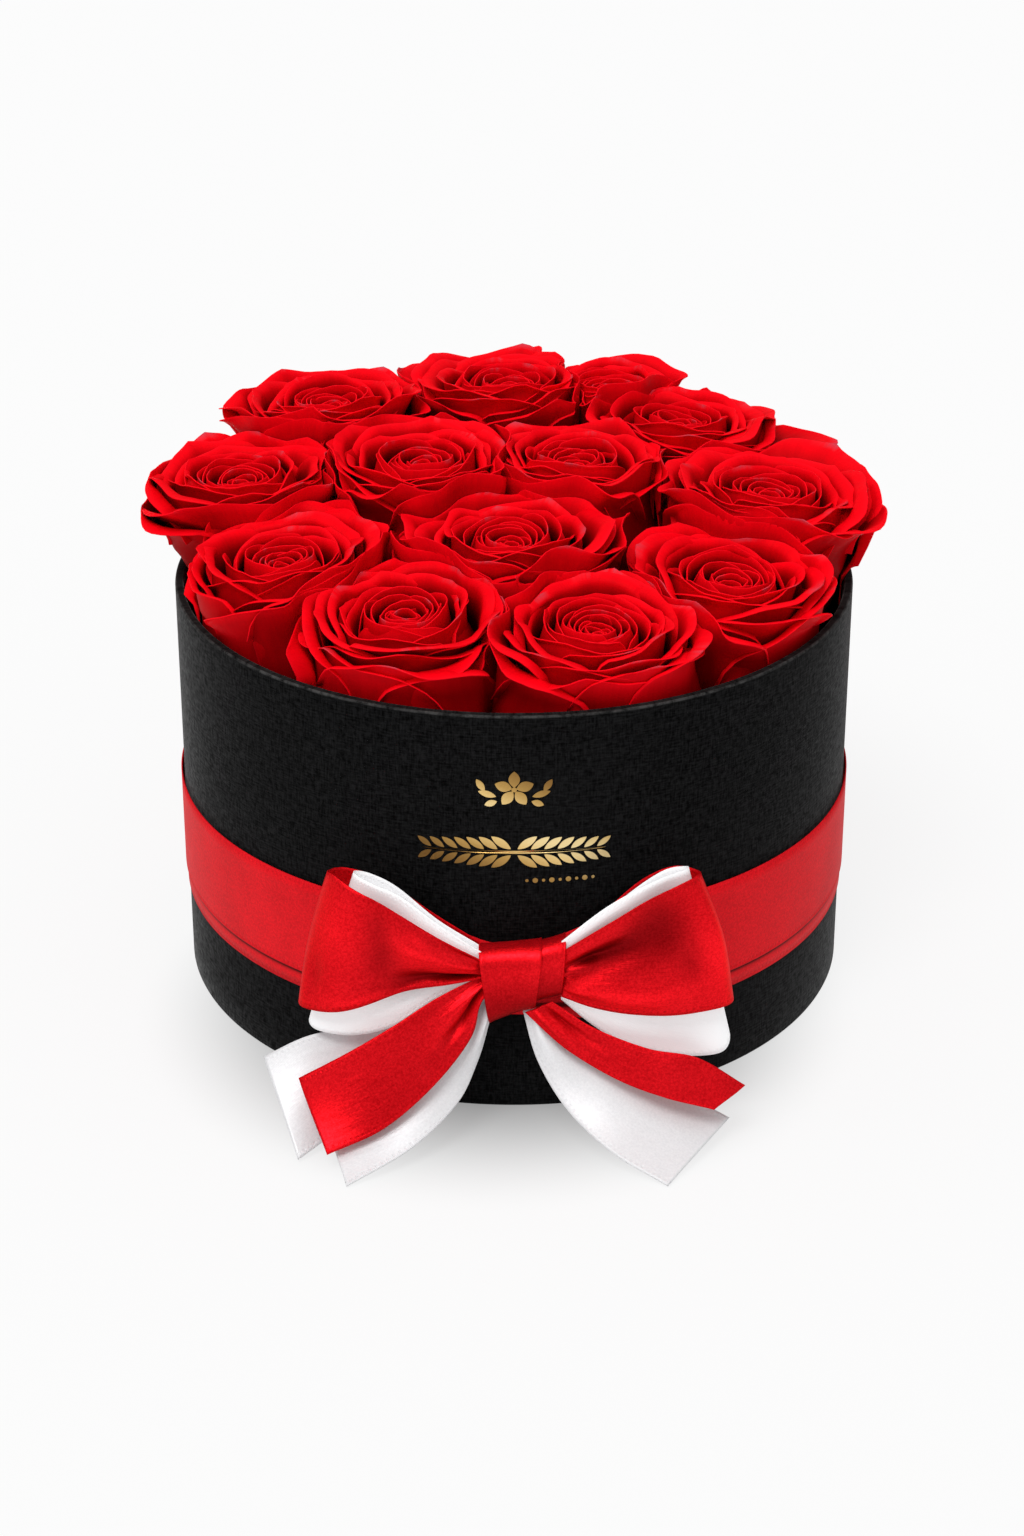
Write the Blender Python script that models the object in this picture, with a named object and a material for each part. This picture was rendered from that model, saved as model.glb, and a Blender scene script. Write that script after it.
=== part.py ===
"""Round flower box: papered cardboard box, foam insert, thirteen roses and a two-colour ribbon bow.

Metres, +Z up. The origin is the centre of the underside of the box, and the bow faces -Y.
Every object is one physical piece. A rose's pieces hang from an empty on its stem's axis, and
the liner pot and the foam block hang from an empty on the box's axis.
"""
import math

import bmesh
import bpy
from mathutils import Matrix, Vector

MM = 0.001

# Box
BOX_RADIUS = 0.100
BOX_HEIGHT = 0.124
PAPER = 0.0004          # covering and lining paper
BOARD = 0.0016          # cardboard
GLUE_GAP = 0.0001       # between round pieces whose facets line up
GAP = 0.0003            # between all other neighbours
TURN_IN = 0.012         # covering paper folded over the rim
ROUND = 96              # facets round the box

# Insert
POT_CLEARANCE = 0.0010
POT_WALL = 0.0006
POT_HEIGHT = 0.084
FOAM_HEIGHT = 0.080
FOAM_CHAMFER = 0.002
HOLE_RADIUS = 0.0026
CUT_ABOVE = 0.002       # how far the hole cutters stand over the foam

# Roses
STEM_RADIUS = 0.0021
STEM_IN_FOAM = 0.045
CALYX_HEIGHT = 0.009
CALYX_RADIUS = 0.0075
HEAD_BELOW_OPENING = 0.041
HEAD_ABOVE_OPENING = 0.009   # the outer petals stand this far over the heart
HEAD_RADIUS = 0.027     # where no neighbour and no wall is in the way
HEAD_FACETS = 20
LEAN = 0.16             # how far a head leans out, as a share of its distance from the axis
OVERHANG_SLOPE = 2.0    # how fast a head may spread over the rim as it rises above it
# Height share and radius share of a rose head, from its base up to its widest petals
HEAD_SIDE = (
    (0.00, 0.34), (0.10, 0.56), (0.26, 0.78), (0.45, 0.93), (0.68, 1.00), (0.88, 0.96), (0.97, 0.86),
)
HEAD_MOUTH = ((1.00, 0.68), (0.94, 0.34))
# Each rose: bearing from +X in degrees, distance from the axis, opening height
OUTER_RING = (
    (244.5, 0.0700, 0.1352), (288, 0.0735, 0.1346), (327, 0.0735, 0.1356), (1, 0.0755, 0.1457),
    (47, 0.0745, 0.1474), (68, 0.0810, 0.1505), (92, 0.0690, 0.1542), (135.5, 0.0795, 0.1530),
    (171, 0.0820, 0.1455), (207, 0.0742, 0.1391),
)
INNER_RING = ((268, 0.0300, 0.1442), (160, 0.0287, 0.1522), (34, 0.0217, 0.1512))

# Ribbons
RIBBON = 0.0004
BAND_HEIGHT = 0.0304
BAND_TOP = 0.0632
UNDER_BAND_BOTTOM = 0.0272

# Gold foil emblem
FOIL = 0.0002
ROSETTE_HEIGHT = 0.1015
ROSETTE_RADIUS = 0.0068
SPRIG_HEIGHT = 0.0835
SPRIG_LENGTH = 0.052
SPRIG_LEAVES = 7
TWIG = 0.0006           # half the height of the twig, and how far its leaves stand out
LEAF = 0.0038

# Places from the outside inwards, worked out from the sizes above
BOARD_OUTER = BOX_RADIUS - PAPER - GLUE_GAP
BOARD_INNER = BOARD_OUTER - BOARD
LINING_OUTER = BOARD_INNER - GLUE_GAP
LINING_INNER = LINING_OUTER - PAPER
BASE_TOP = PAPER + GLUE_GAP + BOARD
POT_RADIUS = LINING_INNER - POT_CLEARANCE
POT_BOTTOM = BASE_TOP + GAP
FOAM_BOTTOM = POT_BOTTOM + POT_WALL + GAP
FOAM_TOP = FOAM_BOTTOM + FOAM_HEIGHT
STEM_BOTTOM = FOAM_TOP - STEM_IN_FOAM
UNDER_BAND_RADIUS = BOX_RADIUS + GLUE_GAP
BAND_RADIUS = UNDER_BAND_RADIUS + RIBBON + GLUE_GAP
FOIL_RADIUS = BOX_RADIUS + GLUE_GAP


def clear_scene():
    for obj in list(bpy.data.objects):
        bpy.data.objects.remove(obj, do_unlink=True)


def material(name, colour, roughness, metallic=0.0):
    mat = bpy.data.materials.new(name)
    mat.use_nodes = True
    shader = mat.node_tree.nodes["Principled BSDF"]
    shader.inputs["Base Color"].default_value = (*colour, 1.0)
    shader.inputs["Roughness"].default_value = roughness
    shader.inputs["Metallic"].default_value = metallic
    return mat


def add_object(name, bm, mat, parent=None, smooth=True):
    """Turn a bmesh into a named object with outward faces and its own material."""
    bmesh.ops.recalc_face_normals(bm, faces=bm.faces)
    mesh = bpy.data.meshes.new(name)
    bm.to_mesh(mesh)
    bm.free()
    if smooth:
        mesh.shade_smooth()
        mesh.set_sharp_from_angle(angle=math.radians(40))
    mesh.materials.append(mat)
    obj = bpy.data.objects.new(name, mesh)
    bpy.context.scene.collection.objects.link(obj)
    if parent:
        obj.parent = parent
    return obj


def add_empty(name, location, parent=None):
    empty = bpy.data.objects.new(name, None)
    bpy.context.scene.collection.objects.link(empty)
    empty.location = location
    if parent:
        empty.parent = parent
        empty.location = Vector(location) - parent.location
    return empty


def bridge_rings(bm, rings, closed):
    """Join rings of vertices into a skin; a closed profile joins its last ring to its first."""
    count = len(rings[0])
    pairs = list(zip(rings, rings[1:]))
    if closed:
        pairs.append((rings[-1], rings[0]))
    for low, high in pairs:
        for i in range(count):
            j = (i + 1) % count
            bm.faces.new((low[i], low[j], high[j], high[i]))
    if not closed:
        bm.faces.new(rings[0])
        bm.faces.new(rings[-1])


def turned(profile, segments, closed=False):
    """Turn (radius, height) points about Z."""
    bm = bmesh.new()
    rings = []
    for radius, height in profile:
        ring = []
        for i in range(segments):
            angle = 2 * math.pi * i / segments
            ring.append(bm.verts.new((radius * math.cos(angle), radius * math.sin(angle), height)))
        rings.append(ring)
    bridge_rings(bm, rings, closed)
    return bm


def tube_profile(inner, outer, bottom, top):
    return ((outer, bottom), (outer, top), (inner, top), (inner, bottom))


def build_box():
    black_paper = material("black_linen_paper", (0.012, 0.012, 0.013), 0.8)
    grey_board = material("grey_board", (0.32, 0.29, 0.25), 0.9)
    base_grey = material("grey_base_board", (0.30, 0.27, 0.23), 0.9)
    lining = material("black_lining_paper", (0.008, 0.008, 0.009), 0.85)
    under_paper = material("black_base_paper", (0.010, 0.010, 0.011), 0.85)

    wrap = (
        (BOX_RADIUS, 0.0), (BOX_RADIUS, BOX_HEIGHT), (LINING_INNER, BOX_HEIGHT),
        (LINING_INNER, BOX_HEIGHT - TURN_IN), (LINING_OUTER, BOX_HEIGHT - TURN_IN),
        (LINING_OUTER, BOX_HEIGHT - PAPER), (BOARD_OUTER + GLUE_GAP, BOX_HEIGHT - PAPER),
        (BOARD_OUTER + GLUE_GAP, 0.0),
    )
    add_object("wrap_paper", turned(wrap, ROUND, closed=True), black_paper)

    board_bottom = PAPER + GLUE_GAP
    board_top = BOX_HEIGHT - PAPER - GLUE_GAP
    board = tube_profile(BOARD_INNER, BOARD_OUTER, board_bottom, board_top)
    add_object("box_board_tube", turned(board, ROUND, closed=True), grey_board)

    lining_top = BOX_HEIGHT - TURN_IN - GAP
    inner = tube_profile(LINING_INNER, LINING_OUTER, BASE_TOP + GLUE_GAP, lining_top)
    add_object("lining_paper", turned(inner, ROUND, closed=True), lining)

    disc_radius = BOARD_INNER - GLUE_GAP
    disc = ((disc_radius, board_bottom), (disc_radius, BASE_TOP))
    add_object("base_board", turned(disc, ROUND), base_grey)

    sheet = ((BOARD_OUTER, 0.0), (BOARD_OUTER, PAPER))
    add_object("base_paper", turned(sheet, ROUND), under_paper)


def build_insert(rose_places):
    pot_plastic = material("black_liner_plastic", (0.02, 0.02, 0.02), 0.45)
    foam_green = material("green_floral_foam", (0.05, 0.16, 0.06), 0.95)
    insert = add_empty("insert_axis", (0.0, 0.0, POT_BOTTOM))

    inner = POT_RADIUS - POT_WALL
    pot = ((POT_RADIUS, 0.0), (POT_RADIUS, POT_HEIGHT), (inner, POT_HEIGHT), (inner, POT_WALL))
    add_object("liner_pot", turned(pot, ROUND), pot_plastic, parent=insert)

    foam_radius = inner - GAP
    floor = FOAM_BOTTOM - POT_BOTTOM
    ceiling = FOAM_TOP - POT_BOTTOM
    foam_profile = (
        (foam_radius - FOAM_CHAMFER, floor), (foam_radius, floor + FOAM_CHAMFER),
        (foam_radius, ceiling - FOAM_CHAMFER), (foam_radius - FOAM_CHAMFER, ceiling),
    )
    foam = add_object("foam_block", turned(foam_profile, ROUND // 2), foam_green, parent=insert)

    cutter_mesh = bmesh.new()
    depth = STEM_IN_FOAM + GAP + CUT_ABOVE
    for x, y in rose_places:
        place = Matrix.Translation((x, y, ceiling - depth / 2 + CUT_ABOVE))
        bmesh.ops.create_cone(
            cutter_mesh, cap_ends=True, segments=12, radius1=HOLE_RADIUS, radius2=HOLE_RADIUS,
            depth=depth, matrix=place)
    cutter = add_object("stem_hole_cutter", cutter_mesh, foam_green, parent=insert, smooth=False)
    cutter.hide_render = True
    cutter.display_type = "WIRE"
    holes = foam.modifiers.new("stem_holes", "BOOLEAN")
    holes.object = cutter
    holes.operation = "DIFFERENCE"
    holes.solver = "EXACT"
    return insert


def rose_layout():
    """Stem place and opening centre of every rose, outer ring first."""
    layout = []
    for ring, lean in ((OUTER_RING, LEAN), (INNER_RING, 0.0)):
        for bearing, distance, height in ring:
            angle = math.radians(bearing)
            out = Vector((math.cos(angle), math.sin(angle), 0.0))
            opening = out * distance + Vector((0.0, 0.0, height))
            stem = out * distance * (1.0 - lean)
            layout.append((stem, opening))
    return layout


def free_reach(centre, direction, wanted, own, others, wall):
    """How far a petal can reach: not past half way to a neighbour, and not past the wall."""
    reach = wanted
    for other in others:
        between = (other - own).xy
        half_way = ((other + own) / 2).xy
        towards = direction.dot(between.normalized())
        if towards > 0.0:
            room = (half_way - centre).dot(between.normalized()) - GAP
            reach = min(reach, room / towards)
    along = centre.dot(direction)
    return min(reach, math.sqrt(along * along + wall * wall - centre.length_squared) - along)


def head_rings(opening, bottom):
    """Height and radius share of every ring of a head, with one ring just above the box's rim."""
    tall = opening.z + HEAD_ABOVE_OPENING - bottom
    side = [(bottom + tall * t, share) for t, share in HEAD_SIDE]
    rim = BOX_HEIGHT + GAP
    for (low, low_share), (high, high_share) in zip(side, side[1:]):
        if low < rim < high:
            share = low_share + (high_share - low_share) * (rim - low) / (high - low)
            side.append((rim, share))
            break
    return sorted(side) + [(bottom + tall * t, share) for t, share in HEAD_MOUTH]


def build_head(name, stem, opening, others, petal_red, axis):
    """A rose head as one solid that fills its share of the box and leans out over the rim."""
    bottom = opening.z - HEAD_BELOW_OPENING
    rim = BOX_HEIGHT + GAP
    bm = bmesh.new()
    rings = []
    for height, share in head_rings(opening, bottom):
        rise = min(1.0, (height - bottom) / HEAD_BELOW_OPENING)
        centre = stem.lerp(opening, rise).xy
        wall = LINING_INNER - 2 * GAP + OVERHANG_SLOPE * max(0.0, height - rim)
        ring = []
        for i in range(HEAD_FACETS):
            angle = 2 * math.pi * i / HEAD_FACETS
            direction = Vector((math.cos(angle), math.sin(angle)))
            reach = free_reach(centre, direction, HEAD_RADIUS * share, opening, others, wall)
            if share < HEAD_SIDE[-1][1] and height > rim:
                reach *= share / HEAD_SIDE[-1][1]
            x, y = centre + direction * reach - stem.xy
            ring.append(bm.verts.new((x, y, height - STEM_BOTTOM)))
        rings.append(ring)
    bridge_rings(bm, rings, closed=False)
    add_object(name, bm, petal_red, parent=axis)


def build_rose(number, stem, opening, others, insert, looks):
    """One rose: head, calyx and stem, hung from an empty on the stem's axis."""
    petal_red, sepal_green, stem_green = looks
    prefix = f"rose_{number:02d}"
    axis = add_empty(prefix + "_axis", (stem.x, stem.y, STEM_BOTTOM), parent=insert)
    build_head(prefix + "_head", stem, opening, others, petal_red, axis)

    head_bottom = opening.z - HEAD_BELOW_OPENING - STEM_BOTTOM
    calyx_top = head_bottom - GAP
    calyx_bottom = calyx_top - CALYX_HEIGHT
    cup = (
        (STEM_RADIUS * 1.2, calyx_bottom), (CALYX_RADIUS * 0.72, calyx_bottom + CALYX_HEIGHT * 0.3),
        (CALYX_RADIUS * 0.66, calyx_bottom + CALYX_HEIGHT * 0.65), (CALYX_RADIUS, calyx_top),
    )
    add_object(prefix + "_calyx", turned(cup, 12), sepal_green, parent=axis)

    stem_top = calyx_bottom - GAP
    knot = stem_top * 0.62
    stalk = (
        (STEM_RADIUS * 0.35, 0.0), (STEM_RADIUS, STEM_RADIUS * 2), (STEM_RADIUS, knot),
        (STEM_RADIUS * 1.12, knot + 0.001), (STEM_RADIUS, knot + 0.002), (STEM_RADIUS, stem_top),
    )
    add_object(prefix + "_stem", turned(stalk, 10), stem_green, parent=axis)


def build_roses(layout, insert):
    openings = [opening for _, opening in layout]
    for index, (stem, opening) in enumerate(layout):
        others = [place for place in openings if place != opening]
        looks = (
            material(f"red_petals_{index + 1:02d}", (0.62, 0.004, 0.010), 0.55),
            material(f"green_sepals_{index + 1:02d}", (0.08, 0.20, 0.05), 0.6),
            material(f"green_stem_{index + 1:02d}", (0.09, 0.22, 0.06), 0.6),
        )
        build_rose(index + 1, stem, opening, others, insert, looks)


def catmull_rom(points, steps):
    """A smooth curve through the points, with the ends repeated."""
    padded = [points[0]] + list(points) + [points[-1]]
    curve = []
    for a, b, c, d in zip(padded, padded[1:], padded[2:], padded[3:]):
        for k in range(steps):
            t = k / steps
            curve.append(0.5 * (2 * b + (c - a) * t + (2 * a - 5 * b + 4 * c - d) * t * t
                                + (3 * b - a - 3 * c + d) * t ** 3))
    curve.append(padded[-2])
    return curve


def ribbon_strip(edges, steps=2):
    """A thin closed strip between an upper and a lower edge, given in millimetres.

    Both of its faces are split along the same diagonal, so that a twisted strip keeps its thickness.
    """
    upper = catmull_rom([Vector(up) * MM for up, _ in edges], steps)
    lower = catmull_rom([Vector(low) * MM for _, low in edges], steps)
    bm = bmesh.new()
    rings = []
    last = len(upper) - 1
    for k in range(last + 1):
        ahead = min(k + 1, last)
        behind = max(k - 1, 0)
        along = (upper[ahead] + lower[ahead]) - (upper[behind] + lower[behind])
        across = upper[k] - lower[k]
        normal = along.cross(across).normalized() * (RIBBON / 2)
        corners = (upper[k] + normal, lower[k] + normal, lower[k] - normal, upper[k] - normal)
        rings.append([bm.verts.new(corner) for corner in corners])
    for near, far in zip(rings, rings[1:]):
        for top, bottom in ((0, 1), (3, 2)):
            bm.faces.new((near[top], near[bottom], far[bottom]))
            bm.faces.new((near[top], far[bottom], far[top]))
        for one, other in ((0, 3), (1, 2)):
            bm.faces.new((near[one], near[other], far[other], far[one]))
    bm.faces.new(rings[0])
    bm.faces.new(rings[-1])
    return bm


# Bow: the upper and the lower edge of each ribbon, in millimetres, from the knot outwards
RED_LOOP_LEFT = (
    ((-10.2, -112.0, 56.0), (-10.2, -112.0, 46.5)), ((-20, -114.0, 63.5), (-20, -114.0, 49.0)),
    ((-31, -115.0, 71.5), (-31, -115.0, 45.0)), ((-43, -113.0, 76.5), (-47, -113.0, 40.0)),
    ((-53, -105.0, 78.0), (-59, -105.0, 38.7)), ((-47, -97.5, 77.0), (-53, -97.5, 41.0)),
    ((-37, -98.0, 73.0), (-40, -98.5, 44.0)), ((-23, -101.2, 64.0), (-24, -101.4, 48.5)),
    ((-10.2, -104.4, 56.0), (-10.2, -104.4, 47.0)),
)
WHITE_LOOP_LEFT = (
    ((-10.2, -110.6, 56.5), (-10.2, -110.6, 44.5)), ((-20.5, -112.2, 61.0), (-20.5, -112.2, 39.5)),
    ((-32, -112.8, 66.0), (-33, -112.8, 29.0)), ((-43, -110.8, 69.0), (-47, -110.6, 27.5)),
    ((-50, -105.0, 73.0), (-55.5, -104.5, 29.5)), ((-44, -100.0, 76.5), (-49, -99.8, 36.0)),
    ((-34, -100.6, 75.0), (-36, -100.8, 40.0)), ((-21, -103.4, 65.0), (-21.5, -103.6, 45.0)),
    ((-10.2, -106.4, 57.0), (-10.2, -106.4, 47.0)),
)
RED_LOOP_RIGHT = (
    ((14.9, -112.0, 57.5), (14.9, -112.0, 44.5)), ((23, -114.0, 66.0), (23, -114.0, 40.5)),
    ((33, -115.0, 72.5), (33, -115.0, 40.0)), ((43, -112.5, 76.0), (48, -112.5, 38.5)),
    ((50, -105.0, 77.0), (60, -105.0, 38.7)), ((46, -97.5, 77.0), (54, -97.5, 41.0)),
    ((37, -98.0, 73.0), (40, -98.5, 44.0)), ((24, -101.2, 64.0), (25, -101.4, 48.5)),
    ((14.9, -104.0, 57.5), (14.9, -104.0, 47.0)),
)
WHITE_LOOP_RIGHT = (
    ((14.9, -110.6, 57.5), (14.9, -110.6, 41.5)), ((23, -112.2, 62.0), (23, -112.2, 31.5)),
    ((32, -112.8, 64.0), (33, -112.8, 25.0)), ((42, -110.6, 66.0), (46, -110.4, 22.0)),
    ((49, -104.8, 72.0), (57, -104.5, 23.0)), ((43, -100.0, 79.0), (49, -99.8, 34.0)),
    ((33, -100.6, 75.5), (36, -100.8, 40.0)), ((23, -103.0, 66.0), (23, -103.2, 45.0)),
    ((14.9, -106.0, 58.5), (14.9, -106.0, 47.0)),
)
RED_TAIL_LEFT = (
    ((-10.2, -113.0, 43.5), (-6.0, -112.0, 34.0)), ((-20, -116.5, 41.0), (-13.5, -117.0, 27.5)),
    ((-32, -118.0, 36.0), (-25, -125.5, 19.5)), ((-46, -118.0, 27.3), (-38, -131.0, 12.5)),
    ((-59, -116.0, 19.1), (-51.8, -134.0, 5.4)),
)
WHITE_TAIL_LEFT_INNER = (
    ((-7.5, -110.4, 34.0), (-2.0, -109.4, 31.0)), ((-15, -113.0, 28.5), (-8.0, -111.8, 22.5)),
    ((-28, -117.5, 20.0), (-16.5, -121.5, 12.0)), ((-42, -119.0, 12.0), (-30, -134.0, 5.0)),
    ((-52, -121.0, 5.5), (-46.4, -141.5, 0.8)),
)
WHITE_TAIL_LEFT_OUTER = (
    ((-10.2, -108.4, 41.5), (-7.5, -108.2, 33.0)), ((-26, -108.5, 37.5), (-18, -109.5, 23.5)),
    ((-44, -106.5, 30.7), (-34, -112.0, 12.0)), ((-58, -105.0, 26.5), (-48, -119.0, 4.8)),
    ((-70.5, -105.5, 20.0), (-60, -129.0, 1.0)),
)
RED_TAIL_RIGHT = (
    ((12.0, -112.0, 37.8), (4.5, -112.2, 34.5)), ((24, -115.5, 34.5), (17, -117.0, 26.5)),
    ((38, -118.0, 30.0), (30, -123.5, 21.8)), ((52, -118.0, 25.5), (44, -125.5, 16.0)),
    ((65.0, -114.0, 15.8), (56, -123.0, 12.2)),
)
WHITE_TAIL_RIGHT = (
    ((12.0, -110.0, 36.0), (1.5, -109.8, 33.0)), ((21, -111.5, 31.0), (8.5, -115.0, 24.0)),
    ((34, -112.5, 23.0), (16, -125.0, 15.0)), ((48, -113.5, 13.0), (28, -134.0, 6.0)),
    ((60.0, -115.8, 6.0), (42.2, -141.4, 0.8)),
)


# Knot: its outline seen from the front, and each section's place in depth with its share of that outline
KNOT_OUTLINE = ((-9.4, 60.7), (14.4, 63.3), (13.2, 43.5), (6.0, 39.4), (-6.6, 35.2))
KNOT_SECTIONS = ((-102.2, 1.0), (-112.0, 1.0), (-114.6, 0.72))


def knot_solid():
    """A rounded band of ribbon in front of the wall, its lower edge rising to the right."""
    middle = sum((Vector(corner) for corner in KNOT_OUTLINE), Vector((0.0, 0.0))) / len(KNOT_OUTLINE)
    bm = bmesh.new()
    rings = []
    for depth, share in KNOT_SECTIONS:
        ring = []
        for corner in KNOT_OUTLINE:
            x, z = middle + (Vector(corner) - middle) * share
            ring.append(bm.verts.new((x * MM, depth * MM, z * MM)))
        rings.append(ring)
    bridge_rings(bm, rings, closed=False)
    return bm


def build_bow():
    red = (0.62, 0.006, 0.012)
    white = (0.85, 0.85, 0.86)
    strips = (
        ("bow_red_loop_left", RED_LOOP_LEFT, red), ("bow_red_loop_right", RED_LOOP_RIGHT, red),
        ("bow_white_loop_left", WHITE_LOOP_LEFT, white),
        ("bow_white_loop_right", WHITE_LOOP_RIGHT, white),
        ("bow_red_tail_left", RED_TAIL_LEFT, red), ("bow_red_tail_right", RED_TAIL_RIGHT, red),
        ("bow_white_tail_left_inner", WHITE_TAIL_LEFT_INNER, white),
        ("bow_white_tail_left_outer", WHITE_TAIL_LEFT_OUTER, white),
        ("bow_white_tail_right", WHITE_TAIL_RIGHT, white),
    )
    for name, edges, colour in strips:
        add_object(name, ribbon_strip(edges), material("satin_" + name, colour, 0.35))

    add_object("bow_knot", knot_solid(), material("satin_bow_knot", red, 0.35), smooth=False)


def build_bands():
    red = (0.60, 0.008, 0.015)
    bands = (
        ("ribbon_band_under", UNDER_BAND_RADIUS, UNDER_BAND_BOTTOM),
        ("ribbon_band_over", BAND_RADIUS, BAND_TOP - BAND_HEIGHT),
    )
    for name, radius, bottom in bands:
        profile = tube_profile(radius, radius + RIBBON, bottom, bottom + BAND_HEIGHT)
        add_object(name, turned(profile, ROUND, closed=True), material("satin_" + name, red, 0.45))


def on_wall(radius, across, height):
    """A point on the box's front wall, with across measured round the wall from its middle."""
    angle = across / BOX_RADIUS
    return Vector((radius * math.sin(angle), -radius * math.cos(angle), height))


def foil_plate(columns):
    """A thin plate on the wall between two edge curves, as (across, low, high) columns."""
    bm = bmesh.new()
    rings = []
    for across, low, high in columns:
        corners = (
            on_wall(FOIL_RADIUS, across, low), on_wall(FOIL_RADIUS, across, high),
            on_wall(FOIL_RADIUS + FOIL, across, high), on_wall(FOIL_RADIUS + FOIL, across, low),
        )
        rings.append([bm.verts.new(corner) for corner in corners])
    bridge_rings(bm, rings, closed=False)
    return bm


def rosette_plate():
    """A five-lobed blossom, flat on the wall."""
    bm = bmesh.new()
    inner = []
    outer = []
    steps = 60
    for i in range(steps):
        angle = 2 * math.pi * i / steps
        reach = ROSETTE_RADIUS * (0.80 + 0.20 * math.cos(5 * angle - math.pi / 2))
        across = reach * math.cos(angle)
        height = ROSETTE_HEIGHT + reach * math.sin(angle)
        inner.append(bm.verts.new(on_wall(FOIL_RADIUS, across, height)))
        outer.append(bm.verts.new(on_wall(FOIL_RADIUS + FOIL, across, height)))
    hubs = [bm.verts.new(on_wall(r, 0.0, ROSETTE_HEIGHT)) for r in (FOIL_RADIUS, FOIL_RADIUS + FOIL)]
    for i in range(steps):
        j = (i + 1) % steps
        bm.faces.new((inner[i], inner[j], outer[j], outer[i]))
        bm.faces.new((inner[j], inner[i], hubs[0]))
        bm.faces.new((outer[i], outer[j], hubs[1]))
    return bm


def sprig_plate():
    """A level twig whose outline swells at every leaf and narrows to both ends."""
    columns = []
    steps = 56
    for i in range(steps + 1):
        share = i / steps
        across = (share - 0.5) * SPRIG_LENGTH
        swell = abs(math.sin(math.pi * SPRIG_LEAVES * share)) ** 0.8
        size = TWIG + LEAF * swell * math.sin(math.pi * share) ** 0.35
        columns.append((across, SPRIG_HEIGHT - size, SPRIG_HEIGHT + size))
    return foil_plate(columns)


def build_emblem():
    gold = (0.75, 0.52, 0.22)
    add_object("foil_rosette", rosette_plate(), material("gold_foil_rosette", gold, 0.3, 1.0))
    add_object("foil_sprig", sprig_plate(), material("gold_foil_sprig", gold, 0.3, 1.0))


def main():
    clear_scene()
    build_box()
    layout = rose_layout()
    insert = build_insert([(stem.x, stem.y) for stem, _ in layout])
    build_roses(layout, insert)
    build_bands()
    build_bow()
    build_emblem()


main()
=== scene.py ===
"""Looks for the round flower box: petals, ribbons, papers, foil and studio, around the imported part.

Metres, +Z up, the bow faces -Y. Shapes are given in millimetres where MM multiplies them.
"""
import math

import bmesh
import bpy
import numpy as np
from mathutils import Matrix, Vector


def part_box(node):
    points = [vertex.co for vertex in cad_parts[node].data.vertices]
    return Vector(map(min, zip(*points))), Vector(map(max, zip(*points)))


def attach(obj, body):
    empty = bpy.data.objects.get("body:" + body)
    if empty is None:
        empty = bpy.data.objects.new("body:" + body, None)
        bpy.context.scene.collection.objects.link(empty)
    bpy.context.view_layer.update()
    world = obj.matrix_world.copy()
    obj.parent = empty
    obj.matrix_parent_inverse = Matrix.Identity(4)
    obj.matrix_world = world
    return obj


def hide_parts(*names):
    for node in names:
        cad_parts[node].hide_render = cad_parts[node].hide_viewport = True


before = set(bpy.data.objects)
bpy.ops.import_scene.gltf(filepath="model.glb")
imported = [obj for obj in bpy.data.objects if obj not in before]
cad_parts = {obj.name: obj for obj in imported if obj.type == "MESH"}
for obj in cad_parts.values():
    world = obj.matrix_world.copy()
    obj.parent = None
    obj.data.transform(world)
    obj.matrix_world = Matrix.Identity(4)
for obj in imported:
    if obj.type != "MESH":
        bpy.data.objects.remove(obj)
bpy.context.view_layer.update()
MM = 0.001
FULL_TURN = 2 * math.pi

# ---------------------------------------------------------------- sizes read from the frame
WRAP_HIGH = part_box("wrap_paper")[1]
BOX_RADIUS = WRAP_HIGH.x
RIM = WRAP_HIGH.z
PAPER = 0.0004               # thickness of the covering paper, which turns in over the rim
LINING_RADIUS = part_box("lining_paper")[1].x
INNER_RADIUS = LINING_RADIUS - PAPER
OVER_LOW, OVER_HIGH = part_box("ribbon_band_over")
UNDER_LOW, UNDER_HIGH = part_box("ribbon_band_under")
ROSES = sorted(name[:7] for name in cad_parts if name.endswith("_head"))
OUTER_ROSES = 10
LEAN = 0.16                  # an outer rose opens this much farther out than its stem stands
HEAD_ABOVE_OPENING = 0.009


def number_of(rose):
    return int(rose[5:7])


def opening_of(rose):
    """Centre of a rose's mouth and of its stem, from the places of its stem and its head."""
    low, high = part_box(rose + "_stem")
    stem = (low + high) / 2
    spread = 1.0 / (1.0 - LEAN) if number_of(rose) <= OUTER_ROSES else 1.0
    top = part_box(rose + "_head")[1].z - HEAD_ABOVE_OPENING
    return np.array((stem.x * spread, stem.y * spread, top)), np.array((stem.x, stem.y))


# ---------------------------------------------------------------- meshes
SHARP = math.radians(50)     # faces that meet at more than this keep a hard edge


def smooth(x):
    """An S-shaped step from 0 to 1."""
    x = np.clip(x, 0.0, 1.0)
    return x * x * (3 - 2 * x)


def bell(x):
    """A round peak of height 1 at 0."""
    return np.exp(-x ** 2)


def attribute_mesh(name, verts, faces, attributes):
    """A smooth mesh whose vertices carry named values for the materials."""
    mesh = bpy.data.meshes.new(name)
    mesh.from_pydata(np.asarray(verts).tolist(), [], np.asarray(faces).tolist())
    for key, values in attributes.items():
        layer = mesh.attributes.new(key, "FLOAT", "POINT")
        layer.data.foreach_set("value", np.asarray(values, dtype=np.float32))
    mesh.shade_smooth()
    return mesh


def add_object(name, data):
    obj = bpy.data.objects.new(name, data)
    bpy.context.scene.collection.objects.link(obj)
    return obj


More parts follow.
